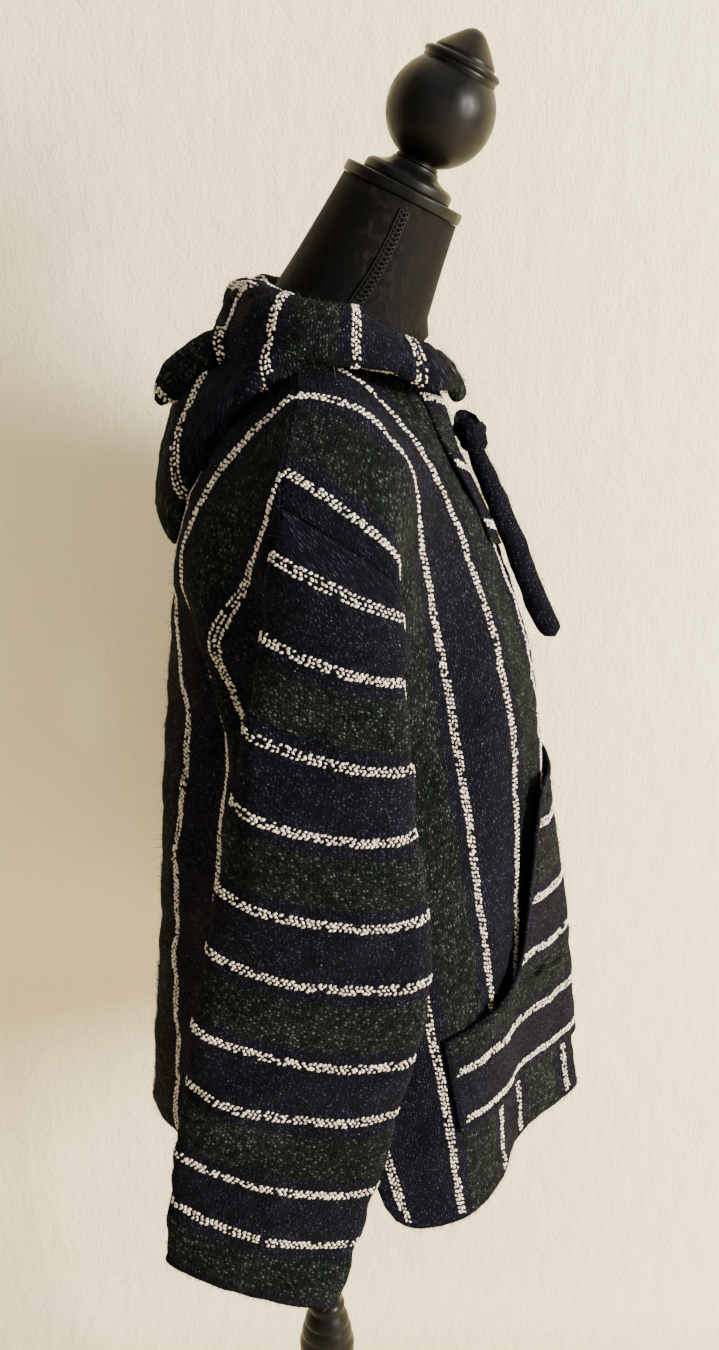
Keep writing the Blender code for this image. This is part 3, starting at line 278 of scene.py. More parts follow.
def linear(hex_colour: str) -> tuple[float, float, float, float]:
    """Linear RGBA of an sRGB hex colour such as "1b2420"."""
    channels = (int(hex_colour[i:i + 2], 16) / 255 for i in (0, 2, 4))
    return (*(c / 12.92 if c <= 0.04045 else ((c + 0.055) / 1.055) ** 2.4 for c in channels), 1.0)


def through(knots: Sequence[float], values: Any, at: Any) -> np.ndarray:
    """Values of the smooth curve that passes through the given values, one at each knot.

    Args:
        knots: Places at which the values are given, rising.
        values: One value or array for each knot.
        at: One place or an array of places.

    Returns:
        The curve's values, with the shape of ``at`` followed by the shape of one value.
    """
    knots = np.asarray(knots, dtype=float)
    values = np.asarray(values, dtype=float)
    slopes = np.gradient(values, knots, axis=0)
    at = np.asarray(at, dtype=float)
    i = np.clip(np.searchsorted(knots, at) - 1, 0, len(knots) - 2)
    span = knots[i + 1] - knots[i]
    t = (at - knots[i]) / span
    shape = t.shape + (1,) * (values.ndim - 1)
    t, span = t.reshape(shape), span.reshape(shape)
    return ((2 * t**3 - 3 * t**2 + 1) * values[i] + (t**3 - 2 * t**2 + t) * span * slopes[i]
            + (3 * t**2 - 2 * t**3) * values[i + 1] + (t**3 - t**2) * span * slopes[i + 1])


def looked_up(table: Sequence[tuple[float, float]], at: Any) -> np.ndarray:
    """Values from a table of two columns, straight between its rows."""
    return np.interp(at, *np.array(table).T)


def smoothly(value: Any, low: float, high: float) -> Any:
    """0 below low, 1 above high and a soft step between them."""
    t = np.clip((np.asarray(value, dtype=float) - low) / (high - low), 0.0, 1.0)
    return t * t * (3 - 2 * t)


def unit(vectors: np.ndarray) -> np.ndarray:
    """The vectors at length 1."""
    return vectors / np.maximum(np.linalg.norm(vectors, axis=-1, keepdims=True), 1e-12)


def walked(points: np.ndarray) -> np.ndarray:
    """Distance walked along each row of points, from 0."""
    steps = np.linalg.norm(np.diff(points, axis=-2), axis=-1)
    return np.concatenate((np.zeros((*steps.shape[:-1], 1)), np.cumsum(steps, axis=-1)), axis=-1)


def lumps(points: np.ndarray, size: float, seed: int) -> np.ndarray:
    """Soft unevenness of handled cloth: a sum of eight waves in chance directions.

    Args:
        points: Places on the cloth.
        size: About how far apart the bumps are.
        seed: Seed of the waves.

    Returns:
        The unevenness at each place, about -1 to 1.
    """
    chance = np.random.default_rng(seed)
    waves = 8
    total = np.zeros(points.shape[:-1])
    for _ in range(waves):
        direction = chance.normal(size=3)
        direction /= np.linalg.norm(direction)
        length = size * chance.uniform(0.7, 1.5)
        phase = chance.uniform(0, 6.28)
        total += np.sin(points @ direction * 2 * math.pi / length + phase)
    return total / math.sqrt(waves)


def read_grid(grid: np.ndarray, i: np.ndarray, j: np.ndarray) -> np.ndarray:
    """Values of a grid at places between its rows and columns.

    Args:
        grid: Rows by columns of values or vectors.
        i: The rows, with their fractions.
        j: The columns, with their fractions.

    Returns:
        A vector for each place, of length 1 where the grid holds values.
    """
    grid = grid if grid.ndim == 3 else grid[..., None]
    i0 = np.minimum(i.astype(int), grid.shape[0] - 2)
    j0 = np.minimum(j.astype(int), grid.shape[1] - 2)
    a, b = (i - i0)[..., None], (j - j0)[..., None]
    return ((1 - a) * ((1 - b) * grid[i0, j0] + b * grid[i0, j0 + 1])
            + a * ((1 - b) * grid[i0 + 1, j0] + b * grid[i0 + 1, j0 + 1]))


# Settings of nodes that the finishes use again and again.
SOFT = {"interpolation_type": "SMOOTHSTEP"}
COLOURS = {"data_type": "RGBA"}
PLUS, MINUS, TIMES = ({"operation": name} for name in ("ADD", "SUBTRACT", "MULTIPLY"))


class Graph:
    """A material and its node tree."""

    def __init__(self, name: str) -> None:
        """Makes the material with its Principled shader."""
        self.material = bpy.data.materials.new(name)
        self.material.use_nodes = True
        self.tree = self.material.node_tree

    def join(self, socket: bpy.types.NodeSocket, value: Any) -> None:
        """Sets an input to a value, or links a node's first live output or a given output to it."""
        if isinstance(value, bpy.types.Node):
            value = next(output for output in value.outputs if output.enabled)
        if isinstance(value, bpy.types.NodeSocket):
            self.tree.links.new(value, socket)
        else:
            socket.default_value = value

    def add(self, kind: str, *values: Any, **named: Any) -> bpy.types.Node:
        """Adds a node with its settings and links.

        Args:
            kind: The node's type after "ShaderNode".
            values: Its first inputs in order, each a value, a node or a node's output.
            named: Other inputs by identifier, such as A_Color, and properties, such as operation.

        Returns:
            The new node.
        """
        node = self.tree.nodes.new("ShaderNode" + kind)
        sockets = {socket.identifier.replace(" ", "_"): socket for socket in node.inputs}
        for name in [name for name in named if name not in sockets]:
            setattr(node, name, named.pop(name))
        named_sockets = [(sockets[name], value) for name, value in named.items()]
        for socket, value in [*zip(node.inputs, values), *named_sockets]:
            self.join(socket, value)
        return node

    def weighted(self, start: Any, *terms: tuple) -> Any:
        """Adds up patterns.

        Args:
            start: The value or pattern to add to.
            terms: For each pattern its output, its weight and, unless that is 0, its middle.

        Returns:
            The node that holds the sum.
        """
        for value, weight, *middle in terms:
            if middle:
                value = self.add("Math", value, middle[0], **MINUS)
            start = self.add("Math", value, weight, start, operation="MULTIPLY_ADD")
        return start

    def finish(self, **inputs: Any) -> bpy.types.Material:
        """Sets or links the shader's own inputs and hands over the material."""
        shader = self.tree.nodes["Principled BSDF"]
        for name, value in inputs.items():
            self.join(shader.inputs[name.replace("_", " ")], value)
        return self.material


def set_stops(ramp: bpy.types.ColorRamp, *stops: tuple[float, str]) -> None:
    """Gives a colour ramp its places and their hex colours."""
    while len(ramp.elements) < len(stops):
        ramp.elements.new(0.5)
    for element, (position, colour) in zip(ramp.elements, stops):
        element.position, element.color = position, linear(colour)


@dataclass(frozen=True)
class BlanketCloth:
    """Brushed, recycled cotton and acrylic blanket cloth: a heathered green band and navy ground.

    The scales are cells per metre. The real threads are 1.2 mm apart, too fine to show, so they
    are drawn as pebbles 2.3 mm apart.
    """

    thread_pitch: float = 0.0023
    waver_scale: float = 40.0  # The band's edges waver every 25 mm.
    fuzz_scale: float = 420.0  # Single fibres cross the edges every 2.4 mm.
    loosening_scale: float = 150.0  # The threads drift every 7 mm.
    patch_scale: float = 26.0  # Rubbed patches of 38 mm.
    worn_scale: float = 9.0  # Faded places of 110 mm.
    mingled_scale: float = 330.0  # Mixed fibres every 3 mm.
    fibre_scale: float = 1900.0  # Fibre ends every 0.5 mm.
    speck_scale: float = 420.0  # Coloured specks 2.4 mm apart, few of them kept.

    def make(self) -> bpy.types.Material:
        """The cloth's material: stripes, heather, coarse threads with painted shade in their gaps,
        and a soft nap.

        Returns:
            The material, which reads the UV map in metres and the attribute "plain".
        """
        graph = Graph("brushed_blanket_cloth")
        add = graph.add
        place = add("TexCoord").outputs["Object"]
        uv = add("UVMap", uv_map="UVMap")
        across = add("SeparateXYZ", uv).outputs["X"]
        plain = add("Attribute", attribute_name="plain").outputs["Fac"]

        waver = add("TexNoise", place, Scale=self.waver_scale, Detail=2.0)
        fuzz = add("TexNoise", uv, Scale=self.fuzz_scale, Detail=1.0)
        stripe = graph.weighted(across, (waver, 0.0022, 0.5))
        stripe = add("Math", stripe, REPEAT, 0.0, operation="WRAP")
        from_green = add("Math", add("Math", stripe, GREEN_MIDDLE, **MINUS), operation="ABSOLUTE")
        from_green = graph.weighted(from_green, (fuzz, 0.0080, 0.5))
        green = add("MapRange", from_green, GREEN_HALF_WIDTH - 0.0008, GREEN_HALF_WIDTH + 0.0012,
                    1.0, 0.0, **SOFT)
        striped = add("Math", 1.0, plain, **MINUS)
        green = add("Math", green, striped, **TIMES)

        loose = add("TexNoise", uv, Scale=self.loosening_scale, Detail=2.0).outputs["Color"]
        drift = add("VectorMath", loose, (0.0011, 0.0011, 0.0), **TIMES)
        loosened = add("VectorMath", uv, drift, **PLUS)
        pitch = (1.0 / self.thread_pitch, 0.72 / self.thread_pitch, 1.0)
        threads = add("TexVoronoi", add("VectorMath", loosened, pitch, **TIMES),
                      Scale=1.0, Randomness=0.62)
        pebble = add("MapRange", threads, 0.12, 0.50, 1.0, 0.0, **SOFT)
        lot = add("SeparateColor", threads.outputs["Color"]).outputs
        patches = add("TexNoise", place, Scale=self.patch_scale, Detail=4.0, Roughness=0.65)
        worn = add("TexNoise", place, Scale=self.worn_scale, Detail=3.0, Roughness=0.6)
        fine = (self.fibre_scale, self.fibre_scale, 1.0)
        fibres = add("TexNoise", add("VectorMath", loosened, fine, **TIMES),
                     Scale=1.0, Detail=2.0, Roughness=0.7)
        mingled = add("TexNoise", uv, Scale=self.mingled_scale, Detail=2.0, Roughness=0.6)

        heather = add("ValToRGB", graph.weighted(
            0.18, (lot[0], 0.64), (mingled, 0.9, 0.5), (patches, 0.8, 0.5), (worn, 0.5, 0.5),
            (fibres, 0.7, 0.5)))
        set_stops(heather.color_ramp, (0.0, "060807"), (0.30, "151b1a"), (0.54, "313a39"),
                  (0.74, "4a5251"), (0.90, "545a59"), (1.0, "646867"))
        teal = graph.weighted(lot[1], (worn, 0.9, 0.5))
        teal = add("MapRange", teal, 0.76, 0.90, 0.0, 0.55, **SOFT)
        heather = add("Mix", teal, A_Color=heather, B_Color=linear("14382e"), **COLOURS)
        brown = add("MapRange", lot[2], 0.90, 0.94, 0.0, 0.4, **SOFT)
        heather = add("Mix", brown, A_Color=heather, B_Color=linear("2c2019"), **COLOURS)
        tone = graph.weighted(0.0, (lot[0], 0.42), (patches, 0.65, 0.5), (fibres, 0.65))
        navy = add("ValToRGB", tone)
        set_stops(navy.color_ramp, (0.12, "0b0a12"), (0.36, "181729"), (0.60, "28273d"),
                  (0.82, "38374f"))
        colour = add("Mix", green, A_Color=navy, B_Color=heather, **COLOURS)
        # Painted shade: the gaps between the thread pebbles are darkened towards near black
        # (040405).
        shaded_gaps = graph.weighted(0.90, (pebble, -0.90))
        colour = add("Mix", shaded_gaps, A_Color=colour, B_Color=linear("040405"), **COLOURS)

        spread = (self.speck_scale, self.speck_scale, 1.0)
        specks = add("TexVoronoi", add("VectorMath", uv, spread, **TIMES), Scale=1.0)
        speck_lot = add("SeparateColor", specks.outputs["Color"]).outputs
        small = add("MapRange", specks, 0.18, 0.28, 1.0, 0.0, **SOFT)
        few = add("MapRange", speck_lot[0], 0.965, 0.972, 0.0, 0.6, **SOFT)
        speck_colour = add("ValToRGB", speck_lot[1])
        speck_colour.color_ramp.interpolation = "CONSTANT"
        set_stops(speck_colour.color_ramp, (0.0, "6c7078"), (0.50, "8d887e"), (0.74, "6e3a26"),
                  (0.82, "5a2430"), (0.90, "2c5646"))
        colour = add("Mix", add("Math", small, few, **TIMES),
                     A_Color=colour, B_Color=speck_colour, **COLOURS)

        height = graph.weighted(pebble, (fibres, 0.45), (lot[1], 0.25))
        normal = add("Bump", Height=height, Distance=0.0021, Strength=1.0)
        return graph.finish(Base_Color=colour, Roughness=0.97, Normal=normal,
                            Specular_IOR_Level=0.05, Sheen_Weight=0.02, Sheen_Roughness=0.5,
                            Sheen_Tint=linear("8a8f9a"))


@dataclass(frozen=True)
class WhiteFloats:
    """Fat off-white cotton floats that stand up from the blanket cloth as pebbly lines."""

    shade: str = "7f7567"
    pale: str = "d6cdbe"
    palest: str = "e6dfd2"
    soil_scale: float = 210.0  # Greyer places of 5 mm.
    twist_scale: float = 1500.0  # Twisted fibres of 0.7 mm.

    def make(self) -> bpy.types.Material:
        """The floats' material: it gives the eye twisted off-white yarn, greyer in places.

        Returns:
            The material.
        """
        graph = Graph("off_white_cotton_yarn")
        add = graph.add
        place = add("TexCoord").outputs["Object"]
        soil = add("TexNoise", place, Scale=self.soil_scale, Detail=2.0, Roughness=0.6)
        colour = add("ValToRGB", soil)
        set_stops(colour.color_ramp, (0.30, self.shade), (0.50, self.pale), (0.80, self.palest))
        twist = add("TexNoise", add("VectorMath", place, (self.twist_scale,) * 3, **TIMES),
                    Scale=1.0, Detail=2.0)
        normal = add("Bump", Height=twist, Distance=0.0004, Strength=0.5)
        return graph.finish(Base_Color=colour, Roughness=0.86, Normal=normal, Sheen_Weight=0.1)


@dataclass(frozen=True)
class SatinJacquard:
    """Black satin jacquard of the dress form: matt flowers woven into a shinier ground."""

    ground: str = "0a0908"
    flower: str = "1a1715"
    groove: str = "040404"
    rubbed: str = "1d1917"
    flower_scale: tuple[float, float, float] = (38.0, 38.0, 30.0)  # Flowers of about 30 mm.
    cord_scale: tuple[float, float, float] = (900.0, 900.0, 55.0)  # Warp cords of 1 mm.
    weft_scale: tuple[float, float, float] = (120.0, 120.0, 1500.0)  # Weft of 0.7 mm.

    def make(self) -> bpy.types.Material:
        """The form cover's material: it gives the eye faint flowers, fine cords and a satin gleam.

        Returns:
            The material.
        """
        graph = Graph("black_satin_jacquard")
        add = graph.add
        place = add("TexCoord").outputs["Object"]
        flat = add("VectorMath", place, self.flower_scale, **TIMES)
        bend = add("TexNoise", flat, Scale=1.4, Detail=2.0).outputs["Color"]
        bent = add("VectorMath", flat, bend, **PLUS)
        petals = add("TexVoronoi", bent, Scale=1.0, Randomness=0.9)
        rings = add("Math", add("Math", petals, 17.0, **TIMES), operation="SINE")
        scattered = add("TexNoise", place, Scale=22.0, Detail=2.0)
        figure = add("Math", add("MapRange", rings, 0.15, 0.65, 0.0, 1.0, **SOFT),
                     add("MapRange", scattered, 0.40, 0.55, 0.0, 1.0, **SOFT), **TIMES)
        cords = add("TexNoise", add("VectorMath", place, self.cord_scale, **TIMES),
                    Scale=1.0, Detail=2.0, Roughness=0.6)
        weft = add("TexNoise", add("VectorMath", place, self.weft_scale, **TIMES),
                   Scale=1.0, Detail=1.0)
        worn = add("TexNoise", place, Scale=14.0, Detail=4.0, Roughness=0.6)
        colour = add("Mix", figure, A_Color=linear(self.ground), B_Color=linear(self.flower),
                     **COLOURS)
        for share, low, high, most, tint in ((cords, 0.35, 0.65, 0.6, self.groove),
                                             (worn, 0.50, 0.75, 0.30, self.rubbed)):
            share = add("MapRange", share, low, high, 0.0, most, **SOFT)
            colour = add("Mix", share, A_Color=colour, B_Color=linear(tint), **COLOURS)
        roughness = add("Math", add("MapRange", figure, 0.0, 1.0, 0.66, 0.84, **SOFT),
                        add("MapRange", worn, 0.4, 0.7, 0.0, 0.08, **SOFT), **PLUS)
        height = graph.weighted(0.0, (cords, 0.8), (figure, 0.9), (weft, 0.3))
        normal = add("Bump", Height=height, Distance=0.0003, Strength=0.7)
        return graph.finish(Base_Color=colour, Roughness=roughness, Normal=normal,
                            Specular_IOR_Level=0.06)


@dataclass(frozen=True)
class GimpCord:
    """Black rayon gimp cord of the form's braid."""

    # Painted shade for the thread's hollows and a painted highlight for its crowns.
    painted_shade_hollow: str = "030303"
    painted_light_crown: str = "0d0c0b"
    thread_scale: tuple[float, float, float] = (2400.0, 2400.0, 1400.0)  # Wound thread of 0.4 mm.

    def make(self) -> bpy.types.Material:
        """The braid's material: wound thread with painted shade in its hollows and painted
        highlights on its crowns.

        Returns:
            The material.
        """
        graph = Graph("black_rayon_gimp")
        add = graph.add
        place = add("TexCoord").outputs["Object"]
        wound = add("TexNoise", add("VectorMath", place, self.thread_scale, **TIMES),
                    Scale=1.0, Detail=2.0)
        # Painted shade and highlight: the colour follows the thread's relief, darker in the hollows
        # and lighter on the crowns.
        colour = add("ValToRGB", wound)
        set_stops(colour.color_ramp, (0.3, self.painted_shade_hollow), (0.7, self.painted_light_crown))
        normal = add("Bump", Height=wound, Distance=0.0003, Strength=0.6)
        return graph.finish(Base_Color=colour, Roughness=0.60, Normal=normal,
                            Specular_IOR_Level=0.18)


@dataclass(frozen=True)
class BlackLacquer:
    """Turned beech under black satin lacquer."""

    colour: str = "070707"
    dusty: str = "15110f"
    dust_scale: float = 60.0  # Dust in spots of 17 mm.
    grain_scale: tuple[float, float, float] = (260.0, 260.0, 24.0)  # Grain 4 mm wide, 42 mm long.

    def make(self) -> bpy.types.Material:
        """The stand's material: it gives the eye a soft black gloss, fine turning lines and dust.

        Returns:
            The material.
        """
        graph = Graph("black_lacquered_wood")
        add = graph.add
        place = add("TexCoord").outputs["Object"]
        dust = add("TexNoise", place, Scale=self.dust_scale, Detail=4.0, Roughness=0.65)
        grain = add("TexNoise", add("VectorMath", place, self.grain_scale, **TIMES),
                    Scale=1.0, Detail=3.0)
        colour = add("Mix", add("MapRange", dust, 0.50, 0.75, 0.0, 0.5, **SOFT),
                     A_Color=linear(self.colour), B_Color=linear(self.dusty), **COLOURS)
        gloss = add("MapRange", dust, 0.35, 0.7, 0.30, 0.44, **SOFT)
        height = graph.weighted(0.0, (grain, 0.7), (dust, 0.7))
        return graph.finish(Base_Color=colour, Roughness=graph.weighted(gloss, (grain, 0.10)),
                            Normal=add("Bump", Height=height, Distance=0.0004, Strength=0.35),
                            Specular_IOR_Level=0.13)


@dataclass(frozen=True)
class Plaster:
    """Warm white painted plaster of the stage's wall and floor."""

    colour: str = "fdf2cc"
    shade: str = "f9ecc4"
    marks_scale: float = 46.0  # Roller marks of 22 mm.
    grit_scale: float = 260.0  # Grit of 4 mm, coarser than the real one, so that it shows.
    tint_scale: float = 1.6  # Tone that changes every 600 mm.

    def make(self) -> bpy.types.Material:
        """The stage's material: it gives the eye a plain warm surface with faint roller marks.

        Returns:
            The material.
        """
        graph = Graph("warm_white_plaster")
        add = graph.add
        place = add("TexCoord").outputs["Object"]
        marks = add("TexNoise", add("VectorMath", place, (1.0, 1.0, 0.55), **TIMES),
                    Scale=self.marks_scale, Detail=4.0, Roughness=0.50)
        grit = add("TexNoise", place, Scale=self.grit_scale, Detail=3.0, Roughness=0.6)
        tint = add("MapRange", add("TexNoise", place, Scale=self.tint_scale, Detail=2.0),
                   0.3, 0.7, 0.0, 1.0, **SOFT)
        colour = add("Mix", tint, A_Color=linear(self.colour), B_Color=linear(self.shade),
                     **COLOURS)
        height = graph.weighted(marks, (grit, 0.40))
        normal = add("Bump", Height=height, Distance=0.0085, Strength=0.42)
        return graph.finish(Base_Color=colour, Roughness=0.9, Normal=normal,
                            Specular_IOR_Level=0.15)


@dataclass
class Finishes:
    """Every material of the part, each made once."""

    cloth: bpy.types.Material = field(default_factory=lambda: BlanketCloth().make())
    floats: bpy.types.Material = field(default_factory=lambda: WhiteFloats().make())
    satin: bpy.types.Material = field(default_factory=lambda: SatinJacquard().make())
    gimp: bpy.types.Material = field(default_factory=lambda: GimpCord().make())
    lacquer: bpy.types.Material = field(default_factory=lambda: BlackLacquer().make())


def stand(name: str, mesh: bpy.types.Mesh, material: bpy.types.Material) -> bpy.types.Object:
    """Stands a finished mesh at the origin as the named object, smooth shaded."""
    mesh.materials.append(material)
    mesh.shade_smooth()
    item = bpy.data.objects.new(name, mesh)
    bpy.context.scene.collection.objects.link(item)
    return item


def link(name: str, bm: bmesh.types.BMesh, material: bpy.types.Material) -> bpy.types.Object:
    """Makes the named object of a finished bmesh."""
    mesh = bpy.data.meshes.new(name)
    bm.to_mesh(mesh)
    bm.free()
    return stand(name, mesh, material)


def settle(item: bpy.types.Object, slot: Slot, *nodes: str) -> bpy.types.Object:
    """Lets a piece ride on the part and stand for its CAD nodes.

    Args:
        item: The piece.
        slot: The record's slot of its finish; not used.
        nodes: The CAD nodes that it stands for, if any.

    Returns:
        The same piece.
    """
    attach(item, "root")
    if nodes:
        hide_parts(*nodes)
    return item


def shaped_grid(points: np.ndarray, coordinates: Optional[np.ndarray] = None,
                plain: Optional[np.ndarray] = None,
                missing: Optional[np.ndarray] = None) -> bmesh.types.BMesh:
    """A grid whose vertices are moved to the given points.

    Args:
        points: Rows by columns of places.
        coordinates: Rows by columns of UV values in metres.
        plain: Rows by columns of how plain navy the cloth is there.
        missing: Rows - 1 by columns - 1 of the faces to leave out.

    Returns:
        The bmesh, its double vertices welded.
    """
    rows, columns = points.shape[:2]
    bm = bmesh.new()
    bmesh.ops.create_grid(bm, x_segments=columns - 1, y_segments=rows - 1, size=0.5)
    bm.verts.index_update()
    layer = bm.verts.layers.float.new("plain")
    places = [(round((vertex.co.y + 0.5) * (rows - 1)), round((vertex.co.x + 0.5) * (columns - 1)))
              for vertex in bm.verts]
    if missing is not None:
        gone = [face for face in bm.faces if missing[min(places[v.index] for v in face.verts)]]
        bmesh.ops.delete(bm, geom=gone, context="FACES_ONLY")
    if coordinates is not None:
        uv = bm.loops.layers.uv.new("UVMap")
        for face in bm.faces:
            for loop in face.loops:
                loop[uv].uv = coordinates[places[loop.vert.index]]
    for vertex, place in zip(bm.verts, places):
        vertex.co = points[place]
        if plain is not None:
            vertex[layer] = float(plain[place])
    bmesh.ops.remove_doubles(bm, verts=bm.verts, dist=2e-5)
    return bm


@dataclass
class ClothPiece:
    """A piece of blanket cloth as a fine grid, with its stripe coordinates.

    ``outward`` is 1 or -1, so that the normals point out of the side that shows, and ``closed``
    says that the last column repeats the first.
    """

    name: str
    points: np.ndarray
    coordinates: np.ndarray
    outward: float
    seed: int
    closed: bool = False
    plain: Optional[np.ndarray] = None
    missing: Optional[np.ndarray] = None

    def __post_init__(self) -> None:
        """Starts with no plain border."""
        if self.plain is None:
            self.plain = np.zeros(self.points.shape[:2])

    @property
    def normals(self) -> np.ndarray:
        """Unit normals on the side that shows."""
        across = np.gradient(self.points, axis=1)
        if self.closed:
            across[:, 0] = across[:, -1] = self.points[:, 1] - self.points[:, -2]
        return unit(np.cross(across, np.gradient(self.points, axis=0))) * self.outward

    def face_away(self, centres: np.ndarray) -> None:
        """Turns the showing side away from one centre, or from a centre for each point."""
        if np.sum(self.normals * (self.points - centres)) < 0:
            self.outward = -self.outward

    def lift(self, relief: np.ndarray) -> None:
        """Moves the cloth along its normals."""
        self.points = self.points + self.normals * relief[..., None]

    def unevenness(self, coarse: tuple[float, float], fine: tuple[float, float]) -> np.ndarray:
        """Two sizes of lumps, each given by its height and its size."""
        return sum(height * lumps(self.points, size, self.seed + k)
                   for k, (height, size) in enumerate((coarse, fine)))

    def build(self, material: bpy.types.Material, *nodes: str) -> bpy.types.Object:
        """Makes the piece with its wall thickness.

        Args:
            material: The finish of both faces and the edges.
            nodes: The CAD nodes that it stands for.

        Returns:
            The new object.
        """
        bm = shaped_grid(self.points, self.coordinates, self.plain, self.missing)
        sample = self.points.shape[0] // 2, self.points.shape[1] // 3
        there = Vector(self.points[sample])
        nearest = min(bm.faces, key=lambda face: (face.calc_center_median() - there).length_squared)
        nearest.normal_update()
        if nearest.normal.dot(Vector(self.normals[sample])) < 0:
            bmesh.ops.reverse_faces(bm, faces=bm.faces[:])
        item = link(self.name, bm, material)
        wall = item.modifiers.new("wall", "SOLIDIFY")
        wall.thickness, wall.offset, wall.use_quality_normals = CLOTH_WALL, 0.0, True
        return settle(item, Slot.CLOTH, *nodes)

    def build_roll(self, material: bpy.types.Material, node: str, capped: bool) -> bpy.types.Object:
        """Makes the piece as a full roll of cloth.

        Args:
            material: Its finish.
            node: The CAD node that it stands for.
            capped: Whether it has two ends to close, and isn't a ring.

        Returns:
            The new object.
        """
        bm = shaped_grid(self.points, self.coordinates, self.plain)
        if capped:
            bmesh.ops.holes_fill(bm, edges=[edge for edge in bm.edges if edge.is_boundary], sides=0)
        bmesh.ops.recalc_face_normals(bm, faces=bm.faces)
        return settle(link(self.name, bm, material), Slot.TIE, node)


@dataclass
class FloatLines:
    """The raised white lines of the cloth: fat yarn floats, staggered in three rows."""

    name: str
    seed: int
    rows: tuple[float, ...] = (-0.0026, 0.0, 0.0026)
    pitch: float = 0.0039
    length: float = 0.0037
    width: float = 0.0022
    rise: float = 0.0010
    turn: float = 0.55
    chance_turn: float = 0.30
    chance_size: float = 0.15
    dropped_share: float = 0.07
    laid: list[tuple] = field(default_factory=list)

    def add(self, piece: ClothPiece, by_column: bool, face: float = 1.0) -> None:
        """Lays floats along every white line that crosses a piece.

        Args:
            piece: The cloth.
            by_column: Whether the stripes follow each other from column to column, not row to row.
            face: 1 for the cloth's outer face and -1 for its inner face, where it turns over.
        """
        grids = [piece.coordinates[..., :1], piece.plain[..., None], piece.points,
                 piece.normals * face]
        if not by_column:
            grids = [grid.transpose(1, 0, 2) for grid in grids]
        stripes, plain, points, normals = grids
        stripes, plain = stripes[..., 0], plain[..., 0]
        low, high = stripes.min(), stripes.max()
        repeats = range(math.floor(low / REPEAT) - 1, math.ceil(high / REPEAT) + 2)
        for line in sorted(k * REPEAT + start for k in repeats for start in WHITE_LINES):
            if low <= line <= high:
                for k, offset in enumerate(self.rows):
                    self.follow(line + offset, stripes, plain, (points, normals), 0.5 * k)

    def follow(self, level: float, stripes: np.ndarray, plain: np.ndarray,
               grids: tuple[np.ndarray, np.ndarray], stagger: float) -> None:
        """Lays one row of floats along a level of the stripe coordinate, but not on plain cloth.

        Args:
            level: The stripe coordinate of the row.
            stripes: The stripe coordinates, each grid row crossing the stripes.
            plain: How plain the cloth is.
            grids: Its points and its normals.
            stagger: How far the row begins behind the first, in pitches.
        """
        above = stripes >= level
        crossing = above[:, :-1] != above[:, 1:]
        run = []
        for i in range(stripes.shape[0] + 1):
            found = i < stripes.shape[0] and crossing[i].any()
            if found:
                j = int(np.argmax(crossing[i]))
                t = (level - stripes[i, j]) / (stripes[i, j + 1] - stripes[i, j])
                found = (1 - t) * plain[i, j] + t * plain[i, j + 1] < 0.5
            if found:
                run.append([(1 - t) * grid[i, j] + t * grid[i, j + 1] for grid in grids])
                continue
            if len(run) > 2:
                self.lay(*np.array(run).transpose(1, 0, 2), stagger)
            run = []

    def lay(self, points: np.ndarray, normals: np.ndarray, stagger: float) -> None:
        """Spaces floats evenly along one run.

        Args:
            points: Places along the run.
            normals: The cloth's normals there.
            stagger: How far the floats begin behind the first row's, in pitches.
        """
        distance = walked(points)
        places = np.arange((0.4 + stagger) * self.pitch, distance[-1], self.pitch)
        if len(places) < 2:
            return
        centres, ups = (
            np.stack([np.interp(places, distance, values[:, k]) for k in range(3)], axis=1)
            for values in (points, normals))
        turns = np.full(len(centres), -self.turn if stagger == 0.5 else self.turn)
        self.laid.append((centres, unit(ups), unit(np.gradient(centres, axis=0)), turns))

    def build(self, material: bpy.types.Material) -> bpy.types.Object:
        """Makes all the floats as one piece: one small icosphere, copied to each place.

        Args:
            material: The yarn's finish.

        Returns:
            The new object.
        """
        chance = np.random.default_rng(self.seed)
        grids = [np.concatenate(values) for values in zip(*self.laid)]
        kept = chance.random(len(grids[0])) > self.dropped_share
        centres, ups, alongs, turns = (values[kept] for values in grids)
        count = len(centres)
        sides = unit(np.cross(ups, alongs))
        turn = (turns + chance.normal(0.0, self.chance_turn, count))[:, None]
        length_way = alongs * np.cos(turn) + sides * np.sin(turn)
        width_way = sides * np.cos(turn) - alongs * np.sin(turn)
        size = chance.normal(1.0, self.chance_size, (count, 1)).clip(0.6, 1.35)[:, None]
        centres = (centres + alongs * chance.normal(0, 0.0004, (count, 1))
                   + sides * chance.normal(0, 0.0003, (count, 1)) + ups * (CLOTH_WALL / 2 + 0.0001))
        bm = bmesh.new()
        bmesh.ops.create_icosphere(bm, subdivisions=1, radius=1.0)
        pebble = np.array([vertex.co[:] for vertex in bm.verts])
        corners = np.array([[vertex.index for vertex in face.verts] for face in bm.faces])
        bm.free()
        x = length_way[:, None] * (pebble[None, :, 0:1] * self.length / 2) * size
        y = width_way[:, None] * (pebble[None, :, 1:2] * self.width / 2) * size
        z = ups[:, None] * pebble[None, :, 2:3] * self.rise
        vertices = (centres[:, None] + x + y + z).reshape(-1, 3)
        faces = (corners[None] + (np.arange(count) * len(pebble))[:, None, None]).reshape(-1, 3)
        mesh = bpy.data.meshes.new(self.name)
        mesh.from_pydata(vertices.tolist(), [], faces.tolist())
        return settle(stand(self.name, mesh, material), Slot.CLOTH)


